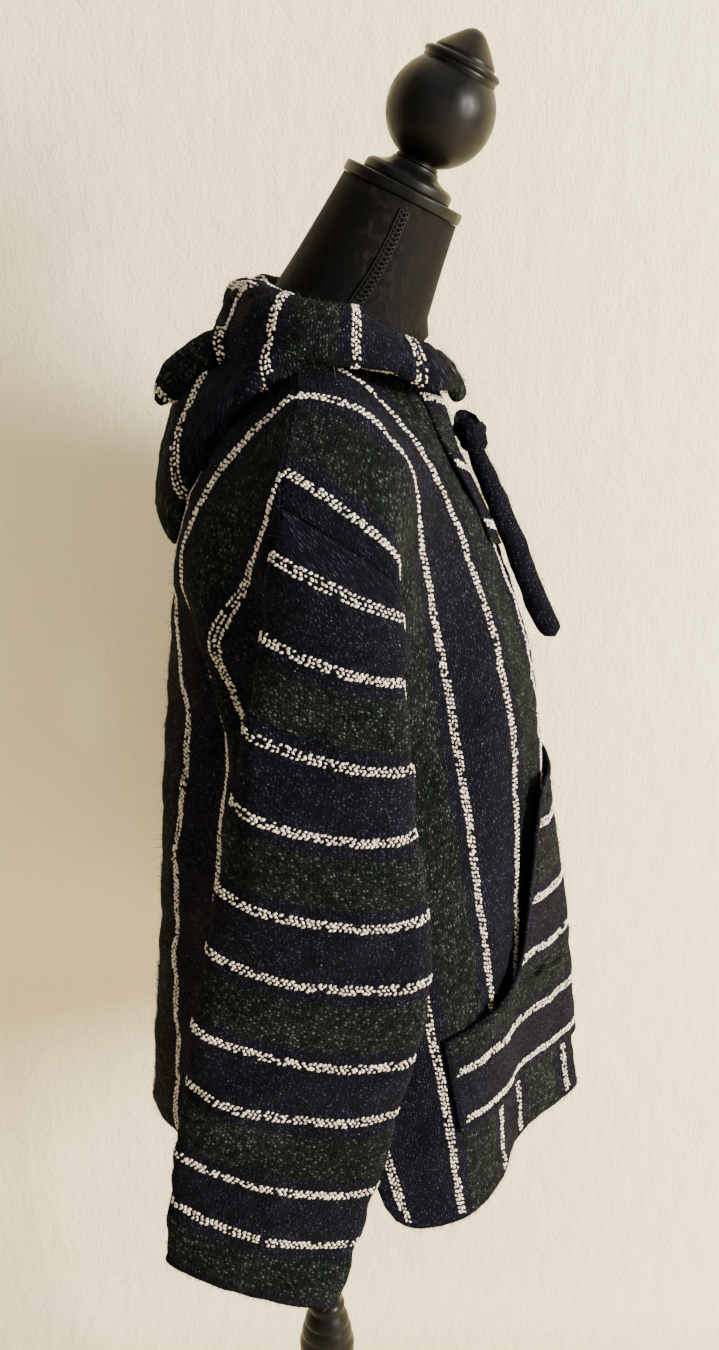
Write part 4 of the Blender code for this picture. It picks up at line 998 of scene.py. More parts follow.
@dataclass
class Nap:
    """Loose fibres brushed up from the cloth: thin blades that lean every way."""

    name: str
    seed: int
    half_width: float = 0.00017
    half_tip: float = 0.00004
    length: float = 0.0042
    raised: list[tuple] = field(default_factory=list)

    def add(self, piece: ClothPiece, count: int, length: Optional[float] = None) -> None:
        """Scatters fibres over a piece.

        Args:
            piece: The cloth.
            count: How many fibres.
            length: Their mean length, where it isn't the usual one.
        """
        chance = np.random.default_rng(self.seed + piece.seed)
        rows, columns = piece.points.shape[:2]
        i = chance.uniform(0, rows - 1.001, count)
        j = chance.uniform(0, columns - 1.001, count)
        if piece.missing is not None:
            kept = ~piece.missing[i.astype(int), j.astype(int)]
            i, j = i[kept], j[kept]
        normals = unit(read_grid(piece.normals, i, j))
        roots = read_grid(piece.points, i, j) + normals * CLOTH_WALL * 0.4
        ways = unit(normals * 0.8 + chance.normal(0, 0.55, normals.shape))
        lengths = chance.gamma(3.0, (length or self.length) / 3.0, len(i)).clip(0.0012, 0.011)
        self.raised.append((roots, ways, read_grid(piece.coordinates, i, j),
                            read_grid(piece.plain, i, j)[:, 0], lengths))

    def fray(self, piece: ClothPiece, count: int, last_column: bool = False) -> None:
        """Lets loose fibres stand out of a piece's last row, or of its last column.

        Args:
            piece: The cloth.
            count: How many fibres.
            last_column: Whether they stand on the last column.
        """
        chance = np.random.default_rng(self.seed + 500 + piece.seed)
        grids = [piece.points, piece.normals, piece.coordinates, piece.plain[..., None]]
        if last_column:
            grids = [grid.transpose(1, 0, 2) for grid in grids]
        place = chance.uniform(0, grids[0].shape[1] - 1.001, count)
        j = place.astype(int)
        t = (place - j)[:, None]
        points, normals, coordinates, plain = (
            (1 - t) * grid[-1, j] + t * grid[-1, j + 1] for grid in grids)
        outwards = unit(points - ((1 - t) * grids[0][-3, j] + t * grids[0][-3, j + 1]))
        across_wall = normals * (chance.uniform(-0.45, 0.45, count) * CLOTH_WALL)[:, None]
        ways = unit(outwards + chance.normal(0, 0.50, outwards.shape))
        lengths = chance.gamma(2.5, self.length / 2.5, count).clip(0.0010, 0.012)
        roots = points + across_wall - outwards * 0.0004
        self.raised.append((roots, ways, coordinates, plain[:, 0], lengths))

    def build(self, material: bpy.types.Material) -> bpy.types.Object:
        """Makes the fibres: a long grid strip cut into separate blades, each moved to its root.

        Args:
            material: The cloth's finish.

        Returns:
            The new object.
        """
        roots, ways, places, plains, lengths = (
            np.concatenate(values) for values in zip(*self.raised))
        chance = np.random.default_rng(self.seed)
        count = len(roots)
        sideways = unit(np.cross(ways, chance.normal(size=ways.shape)))
        bend = sideways * (lengths * chance.uniform(-0.4, 0.4, count))[:, None]
        tips = roots + ways * lengths[:, None] + bend
        bm = bmesh.new()
        steps = 2 * count - 1
        bmesh.ops.create_grid(bm, x_segments=1, y_segments=steps, size=0.5)
        between = [face for face in bm.faces
                   if round((face.calc_center_median().y + 0.5) * steps - 0.5) % 2]
        bmesh.ops.delete(bm, geom=between, context="FACES_ONLY")
        uv = bm.loops.layers.uv.new("UVMap")
        layer = bm.verts.layers.float.new("plain")
        order = [(*divmod(round((vertex.co.y + 0.5) * steps), 2), 1 if vertex.co.x > 0 else -1)
                 for vertex in bm.verts]
        for face in bm.faces:
            for loop in face.loops:
                loop[uv].uv = places[order[loop.vert.index][0]]
        for vertex, (k, at_tip, sign) in zip(bm.verts, order):
            half = self.half_tip if at_tip else self.half_width
            vertex.co = (tips if at_tip else roots)[k] + sign * sideways[k] * half
            vertex[layer] = float(plains[k])
        return settle(link(self.name, bm, material), Slot.CLOTH)


@dataclass(frozen=True)
class Fold:
    """A crease or ridge laid in a piece's own cloth coordinates."""

    line: tuple[tuple[float, float], ...]
    height: float
    half_width: float

    def relief(self, u: np.ndarray, v: np.ndarray) -> np.ndarray:
        """How far the fold lifts each place of the cloth; a crease lifts it less than nothing.

        Args:
            u: The first cloth coordinate of each place.
            v: The second.

        Returns:
            The lift, which fades towards both ends of the fold.
        """
        line = np.array(self.line)
        lengths = walked(line)
        nearest = np.full(u.shape, np.inf)
        along = np.zeros(u.shape)
        for k, (start, end) in enumerate(zip(line, line[1:])):
            step = end - start
            t = ((u - start[0]) * step[0] + (v - start[1]) * step[1]) / (step @ step)
            t = np.clip(t, 0.0, 1.0)
            distance = np.hypot(u - start[0] - t * step[0], v - start[1] - t * step[1])
            share = (lengths[k] + t * (lengths[k + 1] - lengths[k])) / lengths[-1]
            along = np.where(distance < nearest, share, along)
            nearest = np.minimum(distance, nearest)
        fade = np.sin(np.clip(along, 0.0, 1.0) * math.pi) ** 0.6
        return self.height * fade * np.exp(-(nearest / self.half_width) ** 2)


@dataclass
class Panel:
    """A body panel: its surface passes through the lines of its table, mirrored about the centre.

    ``folds`` lie on both sides, in distances across and down, and ``outward`` is the sign of Y
    away from the wearer.
    """

    name: str
    rows: tuple
    folds: tuple[Fold, ...]
    length: float
    neck_drop: float
    armhole: float
    outward: float
    slit: bool
    seed: int
    widest: float = 0.279
    steps: tuple[int, int] = (380, 301)

    def __post_init__(self) -> None:
        """Looks the whole surface up once, so that any point of it is read quickly."""
        self.downs = [row[0] for row in self.rows]
        lines = np.array([row[2:] for row in self.rows], dtype=float)
        shares = np.linspace(-1.0, 1.0, self.steps[1])
        table = []
        for down in np.linspace(0.0, self.length, self.steps[0]):
            half = through(self.downs, lines, down)
            edge = float(self.edge(down))
            knots = [*PANEL_LINES, edge]
            mirrored = half[:0:-1] * np.array((-1.0, 1.0, 1.0))
            table.append(through([-knot for knot in knots[:0:-1]] + knots,
                                 np.vstack((mirrored, half)), shares * edge))
        self.table = np.array(table)

    def edge(self, down: Any) -> Any:
        """Half width of the cloth at a distance down."""
        return through(self.downs, [row[1] for row in self.rows], down)

    def point(self, across: Any, down: Any) -> np.ndarray:
        """Points of the cloth.

        Args:
            across: Distances across, left being positive.
            down: Distances down.

        Returns:
            One place for each pair.
        """
        across, down = np.broadcast_arrays(np.asarray(across, float), np.asarray(down, float))
        i = np.clip(down / self.length, 0.0, 1.0) * (self.steps[0] - 1)
        j = (np.clip(across / self.edge(down), -1.0, 1.0) + 1) / 2 * (self.steps[1] - 1)
        return read_grid(self.table, i, j)

    def off(self, across: Any, down: Any, distance: Any, step: float = 0.004) -> np.ndarray:
        """Points at a distance off the cloth's middle surface, away from the wearer.

        Args:
            across: Distances across.
            down: Distances down.
            distance: How far off.
            step: How far the places lie apart from which the cloth's slope is read.

        Returns:
            One place for each point.
        """
        across, down = np.asarray(across, float), np.asarray(down, float)
        inside = self.edge(down) - step
        middle = np.clip(across, -inside, inside)
        level = np.clip(down, step, self.length - step)
        sideways = self.point(middle + step, down) - self.point(middle - step, down)
        downwards = self.point(across, level + step) - self.point(across, level - step)
        normals = unit(np.cross(sideways, downwards)) * self.outward
        return self.point(across, down) + normals * np.asarray(distance)[..., None]

    def top(self, across: Any) -> Any:
        """Where the cloth begins, along the shoulder seam and the neckline."""
        return self.neck_drop * np.maximum(0.0, 1.0 - (np.abs(across) / NECK_HALF_WIDTH) ** 2.2)

    def bottom(self, across: Any) -> Any:
        """Where the cloth ends, with the vent's rounded corner."""
        start = float(self.edge(self.length)) - VENT_CORNER_RADIUS
        into_corner = np.clip(np.abs(across) - start, 0.0, VENT_CORNER_RADIUS)
        return self.length - VENT_CORNER_RADIUS + np.sqrt(VENT_CORNER_RADIUS**2 - into_corner**2)

    def half_slit(self, down: np.ndarray) -> np.ndarray:
        """Half the opening of the neck slit at a distance down."""
        return SLIT_HALF_WIDTH * np.sqrt(np.maximum(0.0, 1.0 - down / SLIT_END))

    def cut(self) -> ClothPiece:
        """Cuts the panel as a fine grid with its seams, hem and folds.

        Returns:
            The piece, its two halves apart where the neck slit is.
        """
        half_columns = round(self.widest / CELL)
        shares_down = np.linspace(0.0, 1.0, round(self.length / CELL) + 1)
        shares = np.linspace(0.0, 1.0, half_columns + 1)
        guess = shares[None, :] * self.edge(shares_down * self.length)[:, None]
        half_down = self.top(guess) + (self.bottom(guess) - self.top(guess)) * shares_down[:, None]
        gap = self.half_slit(half_down) if self.slit else 0.0
        half_across = gap + shares[None, :] * (self.edge(half_down) - gap)
        across = np.concatenate((-half_across[:, ::-1], half_across), axis=1)
        down = np.concatenate((half_down[:, ::-1], half_down), axis=1)
        points = self.point(across, down)
        missing = np.zeros((points.shape[0] - 1, points.shape[1] - 1), dtype=bool)
        missing[:, half_columns] = True
        out = np.abs(across)
        from_side, from_bottom = self.edge(down) - out, self.bottom(across) - down
        plain = smoothly(np.minimum(from_bottom, from_side), 0.0045, 0.0025)
        piece = ClothPiece(self.name, points, np.stack((across + CENTRE_IN_STRIPES, down), axis=-1),
                           self.outward, self.seed, plain=plain, missing=missing)
        side_seam = smoothly(from_side, 0.007, 0.0) * smoothly(down, 0.62, 0.60)
        shoulder_seam = smoothly(down - self.top(across), 0.006, 0.0) * smoothly(out, 0.085, 0.10)
        hem = smoothly(from_bottom, 0.016, 0.010) * 0.0008
        fade = smoothly(from_side, 0.0, 0.02) * smoothly(down, 0.0, 0.02)
        relief = piece.unevenness((0.0011, 0.055), (0.0005, 0.018)) * fade
        relief = relief - 0.0013 * np.maximum(side_seam, shoulder_seam) + hem
        for fold in self.folds:
            relief = relief + fold.relief(out, down)
        piece.lift(relief)
        return piece


FRONT = Panel(
    "blanket_front_panel", FRONT_ROWS,
    (Fold(((0.150, 0.030), (0.160, 0.130), (0.185, 0.230)), 0.0020, 0.012),
     Fold(((0.205, 0.250), (0.185, 0.330), (0.175, 0.430)), -0.0025, 0.010),
     Fold(((0.120, 0.300), (0.118, 0.420), (0.125, 0.560)), 0.0022, 0.016),
     Fold(((0.235, 0.420), (0.240, 0.560), (0.250, 0.740)), -0.0022, 0.013)),
    length=0.745, neck_drop=0.050, armhole=0.270, outward=-1.0, slit=True, seed=11)
BACK = Panel(
    "blanket_back_panel", BACK_ROWS,
    (Fold(((0.215, 0.140), (0.190, 0.250), (0.165, 0.350), (0.165, 0.480)), 0.0075, 0.016),
     Fold(((0.235, 0.240), (0.215, 0.360), (0.200, 0.520)), -0.0070, 0.012),
     Fold(((0.150, 0.180), (0.135, 0.300), (0.125, 0.440)), -0.0055, 0.012),
     Fold(((0.110, 0.200), (0.112, 0.400), (0.118, 0.700)), -0.0022, 0.016),
     Fold(((0.050, 0.240), (0.054, 0.420), (0.060, 0.700)), 0.0020, 0.018)),
    length=0.715, neck_drop=0.012, armhole=0.265, outward=1.0, slit=False, seed=12)


@dataclass(frozen=True)
class Sleeve:
    """A sleeve: a fine tube from the armhole seam to the open cuff.

    Turns are degrees round the tube, from its outer middle to the front. ``folds`` are given by
    a thousandth of the turn and by the distance along the sleeve.
    """

    side: Side
    seed: int
    length: float = 0.608
    hem: float = 0.010
    first_line: float = 0.025
    seam_at_front_fold: float = 0.108
    seam_at_back_fold: float = 0.012
    folds: tuple[Fold, ...] = (
        Fold(((-0.060, 0.060), (-0.010, 0.140), (0.030, 0.230)), -0.0012, 0.020),
        Fold(((-0.075, 0.120), (-0.040, 0.230), (-0.020, 0.330)), 0.0026, 0.014),
        Fold(((0.060, 0.250), (0.030, 0.300), (-0.010, 0.330)), -0.0022, 0.010),
        Fold(((-0.070, 0.380), (-0.030, 0.450), (0.020, 0.560)), 0.0020, 0.014))

    def ring(self, row: Sequence[float], turns: np.ndarray) -> np.ndarray:
        """One section of the sleeve: a flattened loop between its back and front folds.

        Args:
            row: The section's row of the table.
            turns: Where round the tube.

        Returns:
            One place for each turn.
        """
        _, out, back_y, back_z, front_y, front_z, outer, inner, sag = row
        outward, forward = np.cos(np.radians(turns)), np.sin(np.radians(turns))
        stand_off = np.where(outward > 0, outer, inner) * outward
        y = (back_y + front_y) / 2 + (front_y - back_y) / 2 * forward
        z = ((back_z + front_z) / 2 + (front_z - back_z) / 2 * forward
             - sag * np.maximum(0.0, -outward) ** 1.2)
        return np.stack((self.side.value * (out + stand_off), y, z), axis=-1)

    def seam(self, turns: np.ndarray) -> np.ndarray:
        """Where the sleeve meets the panels' armhole edges, by turn."""
        ends = []
        for panel, at_fold, round_turns in ((FRONT, self.seam_at_front_fold, turns),
                                            (BACK, self.seam_at_back_fold, 360.0 - turns)):
            down = np.interp(round_turns, (0.0, 90.0, 180.0), (0.0, at_fold, panel.armhole))
            ends.append(panel.point(self.side.value * panel.edge(down), down))
        return np.where((turns <= 180.0)[:, None], *ends)

    def cut(self) -> ClothPiece:
        """Cuts the sleeve with its stripes, seam, hem and folds.

        Returns:
            The piece, its columns going round the arm.
        """
        many = np.linspace(0.0, 360.0, 721)
        girth = walked(self.ring(SLEEVE_RINGS[4], many))
        turns = np.interp(np.linspace(0.0, girth[-1], round(girth[-1] / CELL) + 1), girth, many)
        rings = np.array([self.seam(turns)] + [self.ring(row, turns) for row in SLEEVE_RINGS])
        lengths = np.linspace(0.0, self.length, round(self.length / CELL) + 1)
        points = through([0.0] + [row[0] for row in SLEEVE_RINGS], rings, lengths)
        outward_share = np.maximum(0.0, np.cos(np.radians(turns)))
        dip = looked_up(SLEEVE_DIP, lengths)
        stripe = lengths[:, None] - dip[:, None] * outward_share[None, :] ** 1.5 - self.first_line
        around = walked(points)
        half = around[:, -1:] / 2
        signed = np.where(around > half, around - 2 * half, around)
        station = np.broadcast_to(lengths[:, None], stripe.shape)
        hem_start = self.length - self.hem
        plain = np.maximum(smoothly(station, 0.022, 0.019),
                           smoothly(station, hem_start, hem_start + 0.003))
        piece = ClothPiece("blanket_sleeve_" + self.side.label, points,
                           np.stack((stripe, signed), axis=-1), 1.0, self.seed, closed=True,
                           plain=plain)
        piece.face_away(points.mean(axis=1, keepdims=True))
        relief = piece.unevenness((0.0013, 0.05), (0.0006, 0.017)) * smoothly(station, 0.0, 0.02)
        relief -= 0.0016 * smoothly(station, 0.007, 0.0)
        relief += 0.0009 * smoothly(station, self.length - 0.016, hem_start)
        from_middle = np.where(turns > 180, turns - 360, turns) * 0.001
        from_middle = np.broadcast_to(from_middle, stripe.shape)
        for fold in self.folds:
            relief += fold.relief(from_middle, station)
        piece.lift(relief)
        return piece


@dataclass(frozen=True)
class HoodHalf:
    """Half the hood, lying down at the back with its front edge rolled round the neck."""

    side: Side
    seed: int
    centre_y: float = -0.025
    left_flatter: float = 0.50
    first_turn: float = 5.0
    rows: int = 96
    columns: int = 64

    def section(self, turn: float, panel_name: str, across: float, profile: tuple) -> np.ndarray:
        """One section through the hood, from its neck seam over the roll to the pouch.

        Args:
            turn: Degrees round the neck, from the front.
            panel_name: The panel that carries the seam there.
            across: Where on that panel.
            profile: Radii from the hood's centre, with heights.

        Returns:
            The section's places.
        """
        panel = FRONT if panel_name == "front" else BACK
        seam = panel.off(across, float(panel.top(across)), CLOTH_WALL + LYING_GAP)
        angle = math.radians(turn)
        lowest = min(height for _, height in profile)
        at_front_left = self.side is Side.LEFT and turn <= 90
        flatter = self.left_flatter * math.sin(2 * angle) if at_front_left else 0.0
        places = [(radius * math.sin(angle), self.centre_y - radius * math.cos(angle),
                   height - (height - lowest) * flatter) for radius, height in profile]
        return np.array([seam, *places]) * np.array((self.side.value, 1.0, 1.0))

    def cut(self) -> ClothPiece:
        """Cuts the half with its stripes.

        Returns:
            The piece, its rows going round the neck to the centre seam.
        """
        sections = np.array([self.section(*row) for row in HOOD_SECTIONS])
        knots = np.arange(sections.shape[1])
        turns = np.linspace(self.first_turn, 180.0, self.rows)
        by_turn = through([row[0] for row in HOOD_SECTIONS], sections, turns)
        places = np.linspace(0.0, knots[-1], self.columns)
        points = np.array([through(knots, section, places) for section in by_turn])
        points[-1, :, 0] = 0.0
        along = walked(points)
        stripe = np.broadcast_to(looked_up(HOOD_STRIPES, turns)[:, None], along.shape)
        piece = ClothPiece("blanket_hood_" + self.side.label, points,
                           np.stack((stripe, along), axis=-1), self.side.value, self.seed)
        fade = smoothly(along, 0.0, 0.03) * smoothly(180.0 - turns, 0.0, 6.0)[:, None]
        piece.lift(piece.unevenness((0.0016, 0.05), (0.0007, 0.016)) * fade)
        return piece


@dataclass(frozen=True)
class HoodFold:
    """A fallen fold of the hood: cloth rolled into a soft flattened tube along a given line.

    ``start`` is where in the stripes its cloth begins, and ``lengthwise`` says that the stripes
    run along the fold and don't cross it.
    """

    name: str
    table: tuple
    start: float
    lengthwise: bool
    seed: int

    def cut(self) -> ClothPiece:
        """Cuts the fold.

        Returns:
            The piece, its columns going round the fold.
        """
        laid = np.array(self.table)
        knots = walked(laid[:, :3])
        distance = np.linspace(0.0, knots[-1], 2 * round(knots[-1] / CELL) + 1)
        values = through(knots, laid, distance)
        path, sizes = values[:, :3], np.maximum(values[:, 3:], 0.001)
        upright, sideways = frames_along(path, (0.0, 0.0, 1.0))
        turns = np.linspace(0.0, 2 * math.pi, 49)
        up, out = np.cos(turns)[None, :] * sizes[:, :1], np.sin(turns)[None, :] * sizes[:, 1:]
        points = (path[:, None] + upright[:, None] * up[..., None]
                  + sideways[:, None] * out[..., None])
        girth = 2 * math.pi * sizes.mean()
        round_it = np.broadcast_to(turns[None, :] / (2 * math.pi) * girth, points.shape[:2])
        along = np.broadcast_to(distance[:, None], points.shape[:2])
        pair = (self.start + round_it, along) if self.lengthwise else (self.start - along, round_it)
        piece = ClothPiece(self.name, points, np.stack(pair, axis=-1), 1.0, self.seed, closed=True)
        piece.face_away(path[:, None])
        relief = piece.unevenness((0.0011, 0.034), (0.0006, 0.013))
        relief[:, -1] = relief[:, 0]
        piece.lift(relief)
        return piece


@dataclass(frozen=True)
class Pocket:
    """The kangaroo pocket, lying on the front panel and gaping at the hand openings."""

    seed: int
    side_rise: float = 0.026
    gape: float = 0.009
    gape_reach: float = 0.055
    belly: float = 0.004
    lift: float = CLOTH_WALL + 0.0014
    first_line: float = 0.012
    columns: int = 75

    def cut(self) -> ClothPiece:
        """Cuts the pocket with its stitched border.

        Returns:
            The piece.
        """
        (top, _), (bottom, widest) = POCKET_ROWS[0], POCKET_ROWS[-1]
        downs = np.linspace(top, bottom, round((bottom - top) / CELL) + 1)
        downs = np.unique(np.concatenate((downs, [row[0] for row in POCKET_ROWS])))[:, None]
        half = looked_up(POCKET_ROWS, downs)
        shares = np.linspace(-1.0, 1.0, self.columns)[None, :]
        across = shares * half
        depth = (downs - top) / (bottom - top)
        rise = self.side_rise * (across / widest) ** 2 * depth
        from_side = (1.0 - np.abs(shares)) * half
        gape = (self.gape * np.exp(-from_side / self.gape_reach)
                * np.minimum(1.0, (widest - half) / 0.05))
        gape = gape + self.belly * np.sin(math.pi * depth) * (1.0 - shares**2)
        points = FRONT.off(across, downs - rise, self.lift + gape)
        height = np.broadcast_to(bottom - downs, across.shape)
        from_edge = np.minimum(np.minimum(height, from_side), bottom - top - height)
        coordinates = np.stack((height - self.first_line, across), axis=-1)
        piece = ClothPiece("blanket_pocket", points, coordinates, FRONT.outward, self.seed,
                           plain=smoothly(from_edge, 0.006, 0.0045))
        stitches = 0.0012 * np.exp(-((from_edge - 0.009) / 0.0016) ** 2)
        piece.lift(0.0007 * lumps(points, 0.03, self.seed) * smoothly(from_edge, 0.0, 0.02)
                   - stitches + 0.0008 * smoothly(from_edge, 0.009, 0.004))
        piece.face_away(piece.points * (1.0, 0.0, 1.0))
        return piece


@dataclass(frozen=True)
class Placket:
    """A strip along one side of the neck slit."""

    side: Side
    seed: int
    width: float = 0.046
    start: float = 0.004
    end: float = 0.188
    belly: float = 0.0008

    def cut(self) -> ClothPiece:
        """Cuts the strip.

        Returns:
            The piece.
        """
        shares = np.linspace(0.0, 1.0, 12)[None, :]
        start = FRONT.top(shares * self.width) + self.start
        down = start + (self.end - start) * np.linspace(0.0, 1.0, 40)[:, None]
        across = self.side.value * (FRONT.half_slit(down) + LYING_GAP + shares * self.width)
        lift = CLOTH_WALL + LYING_GAP + self.belly * np.sin(math.pi * shares)
        points = FRONT.off(across, down, np.broadcast_to(lift, down.shape))
        coordinates = np.stack((looked_up(PLACKET_STRIPES, down), across), axis=-1)
        piece = ClothPiece("blanket_placket_" + self.side.label, points, coordinates, 1.0,
                           self.seed)
        piece.face_away(points * (1.0, 0.0, 1.0))
        return piece


@dataclass
class Garment:
    """The hooded pullover: panels, sleeves, hood, pocket, plackets, white lines and nap."""

    finishes: Finishes
    sleeve_seeds: tuple[int, int] = (21, 22)
    hood_seeds: tuple[int, int] = (31, 32)
    pieces: dict[str, ClothPiece] = field(default_factory=dict)

    def build(self) -> None:
        """Makes the whole garment except its ties."""
        self.cut()
        self.sew()
        self.lay_lines()
        self.brush()

    def cut(self) -> None:
        """Shapes every piece of cloth."""
        parts = {"front": FRONT, "back": BACK, "pocket": Pocket(51)}
        for side, sleeve_seed, hood_seed in zip(Side, self.sleeve_seeds, self.hood_seeds):
            parts["sleeve_" + side.label] = Sleeve(side, sleeve_seed)
            parts["hood_" + side.label] = HoodHalf(side, hood_seed)
            parts["placket_" + side.label] = Placket(side, 41)
        parts["corner_flap"] = HoodFold("hood_corner_flap", CORNER_FLAP, 0.172, False, 71)
        parts["back_roll"] = HoodFold("hood_back_roll", BACK_ROLL, 0.050, True, 72)
        parts["lower_fold"] = HoodFold("hood_lower_fold", LOWER_FOLD, 0.122, False, 73)
        self.pieces = {key: part.cut() for key, part in parts.items()}

    def sew(self) -> None:
        cloth = self.finishes.cloth
        front = self.pieces["front"].build(cloth, "front_panel")
        back = self.pieces["back"].build(cloth, "back_panel")
        for side in Side:
            sleeve = self.pieces["sleeve_" + side.label].build(cloth, "sleeve_" + side.label)
            hood = self.pieces["hood_" + side.label].build(cloth, "hood_" + side.label)
            placket = self.pieces["placket_" + side.label].build(cloth, "placket_" + side.label)
        for key in ("corner_flap", "back_roll", "lower_fold"):
            fold = self.pieces[key]
            item = fold.build(cloth, "hood_right")
        pocket = self.pieces["pocket"].build(cloth, "pocket")

    def lay_lines(self) -> None:
        """Lays the white lines on every piece of cloth."""
        for seed, key in enumerate(("front", "back", "sleeve_right", "sleeve_left"), 100):
            lines = FloatLines("white_lines_" + key, seed)
            lines.add(self.pieces[key], key in ("front", "back"))
            lines.build(self.finishes.floats)
        small = FloatLines("white_lines_hood_and_pocket", 120)
        for key in ("hood_right", "hood_left", "placket_right", "placket_left", "pocket",
                    "corner_flap", "lower_fold"):
            small.add(self.pieces[key], False)
        for key in ("hood_right", "hood_left"):
            small.add(self.pieces[key], False, face=-1.0)
        small.add(self.pieces["back_roll"], True)
        small.build(self.finishes.floats)

    def brush(self) -> None:
        """Raises the nap and frays the edges."""
        nap = Nap("brushed_nap", 7)
        for key, count in {"front": 8000, "back": 7000, "sleeve_right": 7000, "sleeve_left": 6000,
                           "hood_right": 3500, "hood_left": 3500, "corner_flap": 700,
                           "back_roll": 900, "lower_fold": 900, "pocket": 2500,
                           "placket_right": 400, "placket_left": 400}.items():
            nap.add(self.pieces[key], count)
        for key, count in {"front": 1800, "back": 1600, "sleeve_right": 1300,
                           "sleeve_left": 1100}.items():
            nap.fray(self.pieces[key], count)
        for key in ("hood_right", "hood_left"):
            nap.fray(self.pieces[key], 600, last_column=True)
        nap.build(self.finishes.cloth)


def frames_along(path: np.ndarray, hint: Sequence[float]) -> tuple[np.ndarray, np.ndarray]:
    """Two unit directions square to a path at each of its points.

    Args:
        path: The path's places.
        hint: About where the first direction points.

    Returns:
        The first and the second direction at each place.
    """
    tangents = unit(np.gradient(path, axis=0))
    first = np.broadcast_to(np.asarray(hint, float), path.shape)
    first = unit(first - np.sum(first * tangents, axis=1, keepdims=True) * tangents)
    return first, np.cross(tangents, first)


def rings_along(path: np.ndarray, hint: Sequence[float], turns: np.ndarray) -> np.ndarray:
    """Directions all round a path, a row of them at each of its points."""
    first, second = frames_along(path, hint)
    return (first[:, None] * np.cos(turns)[None, :, None]
            + second[:, None] * np.sin(turns)[None, :, None])


@dataclass
class Ties:
    """Two fat ties of rolled navy cloth in one half knot."""

    finishes: Finishes
    left_shorter: float = 0.18
    diameter: float = 0.0185
    rows: int = 56
    end: tuple[float, ...] = (0.97, 0.82, 0.12)
    knot_down: float = 0.0895
    knot_off: float = 0.0180
    knot_opening: tuple[float, float] = (0.0138, 0.0074)
    knot_wall: float = 0.0058
    knot_height: float = 0.0260
    knot_lean: float = 13.3

    def build(self) -> None:
        """Makes the ties and their knot, with the fibres on them."""
        nap = Nap("tie_nap", 77)
        for side in Side:
            path, piece = self.tie(side)
            item = piece.build_roll(self.finishes.cloth, "tie_" + side.label, True)
            nap.add(piece, 900, 0.0026)
        self.knot(nap)
        nap.build(self.finishes.cloth)

    def tie(self, side: Side) -> tuple[np.ndarray, ClothPiece]:
        """One tie, with a blunt soft end.

        Args:
            side: The tie's side.

        Returns:
            Its middle line and its cloth.
        """
        shorter = self.left_shorter if side is Side.LEFT else 0.0
        places = np.linspace(0.0, (len(TIE_LINE) - 1) * (1.0 - shorter), self.rows)
        across, down, off, radii = through(range(len(TIE_LINE)), TIE_LINE, places).T
        path = FRONT.off(side.value * across, down, off)
        radii = radii * np.concatenate((np.ones(self.rows - len(self.end)), self.end))
        turns = np.linspace(0.0, 2 * math.pi, 27)
        points = path[:, None] + rings_along(path, (0.0, -1.0, 0.0), turns) * radii[:, None, None]
        swell = 1.0 + 0.06 * lumps(points, 0.014, 61)
        swell[:, -1] = swell[:, 0]
        points = path[:, None] + (points - path[:, None]) * swell[..., None]
        girth = turns[None] * float(radii.mean())
        coordinates = np.stack(np.broadcast_arrays(walked(path)[:, None], girth), axis=-1)
        piece = ClothPiece("rolled_tie_" + side.label, points, coordinates, 1.0, 61, closed=True,
                           plain=np.ones(points.shape[:2]))
        piece.face_away(path[:, None])
        return path, piece

    def knot(self, nap: Nap) -> None:
        """The half knot: a fat slanted turn of rolled cloth round both ties.

        Args:
            nap: The ties' fibres, which the knot's are added to.
        """
        turns = np.linspace(0.0, 2 * math.pi, 97)[:, None]
        swell = np.linspace(0.0, 2 * math.pi, 41)[None, :]
        place = (Matrix.Translation(Vector(FRONT.off(0.0, self.knot_down, self.knot_off)))
                 @ Matrix.Rotation(math.radians(-self.knot_lean), 4, "X"))
        thick = self.knot_wall / 2 * (1.0 + 0.22 * np.sin(2 * turns + 0.6))
        tall = self.knot_height / 2 * (0.86 + 0.14 * np.cos(2 * turns))
        past = thick * (1 + np.cos(swell))
        x = (self.knot_opening[0] + past) * np.cos(turns)
        y = (self.knot_opening[1] + past) * np.sin(turns)
        slant = 0.0042 * np.cos(turns - 0.7)
        z = tall * np.sign(np.sin(swell)) * np.abs(np.sin(swell)) ** 0.9 + slant
        points = np.stack((x, y, z), axis=-1) @ np.array(place.to_3x3()).T
        points = points + np.array(place.translation)
        coordinates = np.stack(np.broadcast_arrays(turns * 0.018, swell * 0.010), axis=-1)
        piece = ClothPiece("half_knot", points, coordinates, 1.0, 63, closed=True,
                           plain=np.ones(points.shape[:2]))
        piece.face_away(points.mean(axis=(0, 1)))
        nap.add(piece, 500, 0.0024)
        relief = 0.0010 * lumps(points, 0.014, 64) + 0.0004 * lumps(points, 0.006, 65)
        relief[-1], relief[:, -1] = relief[0], relief[:, 0]
        piece.lift(relief)
        item = piece.build_roll(self.finishes.cloth, "tie_knot", False)


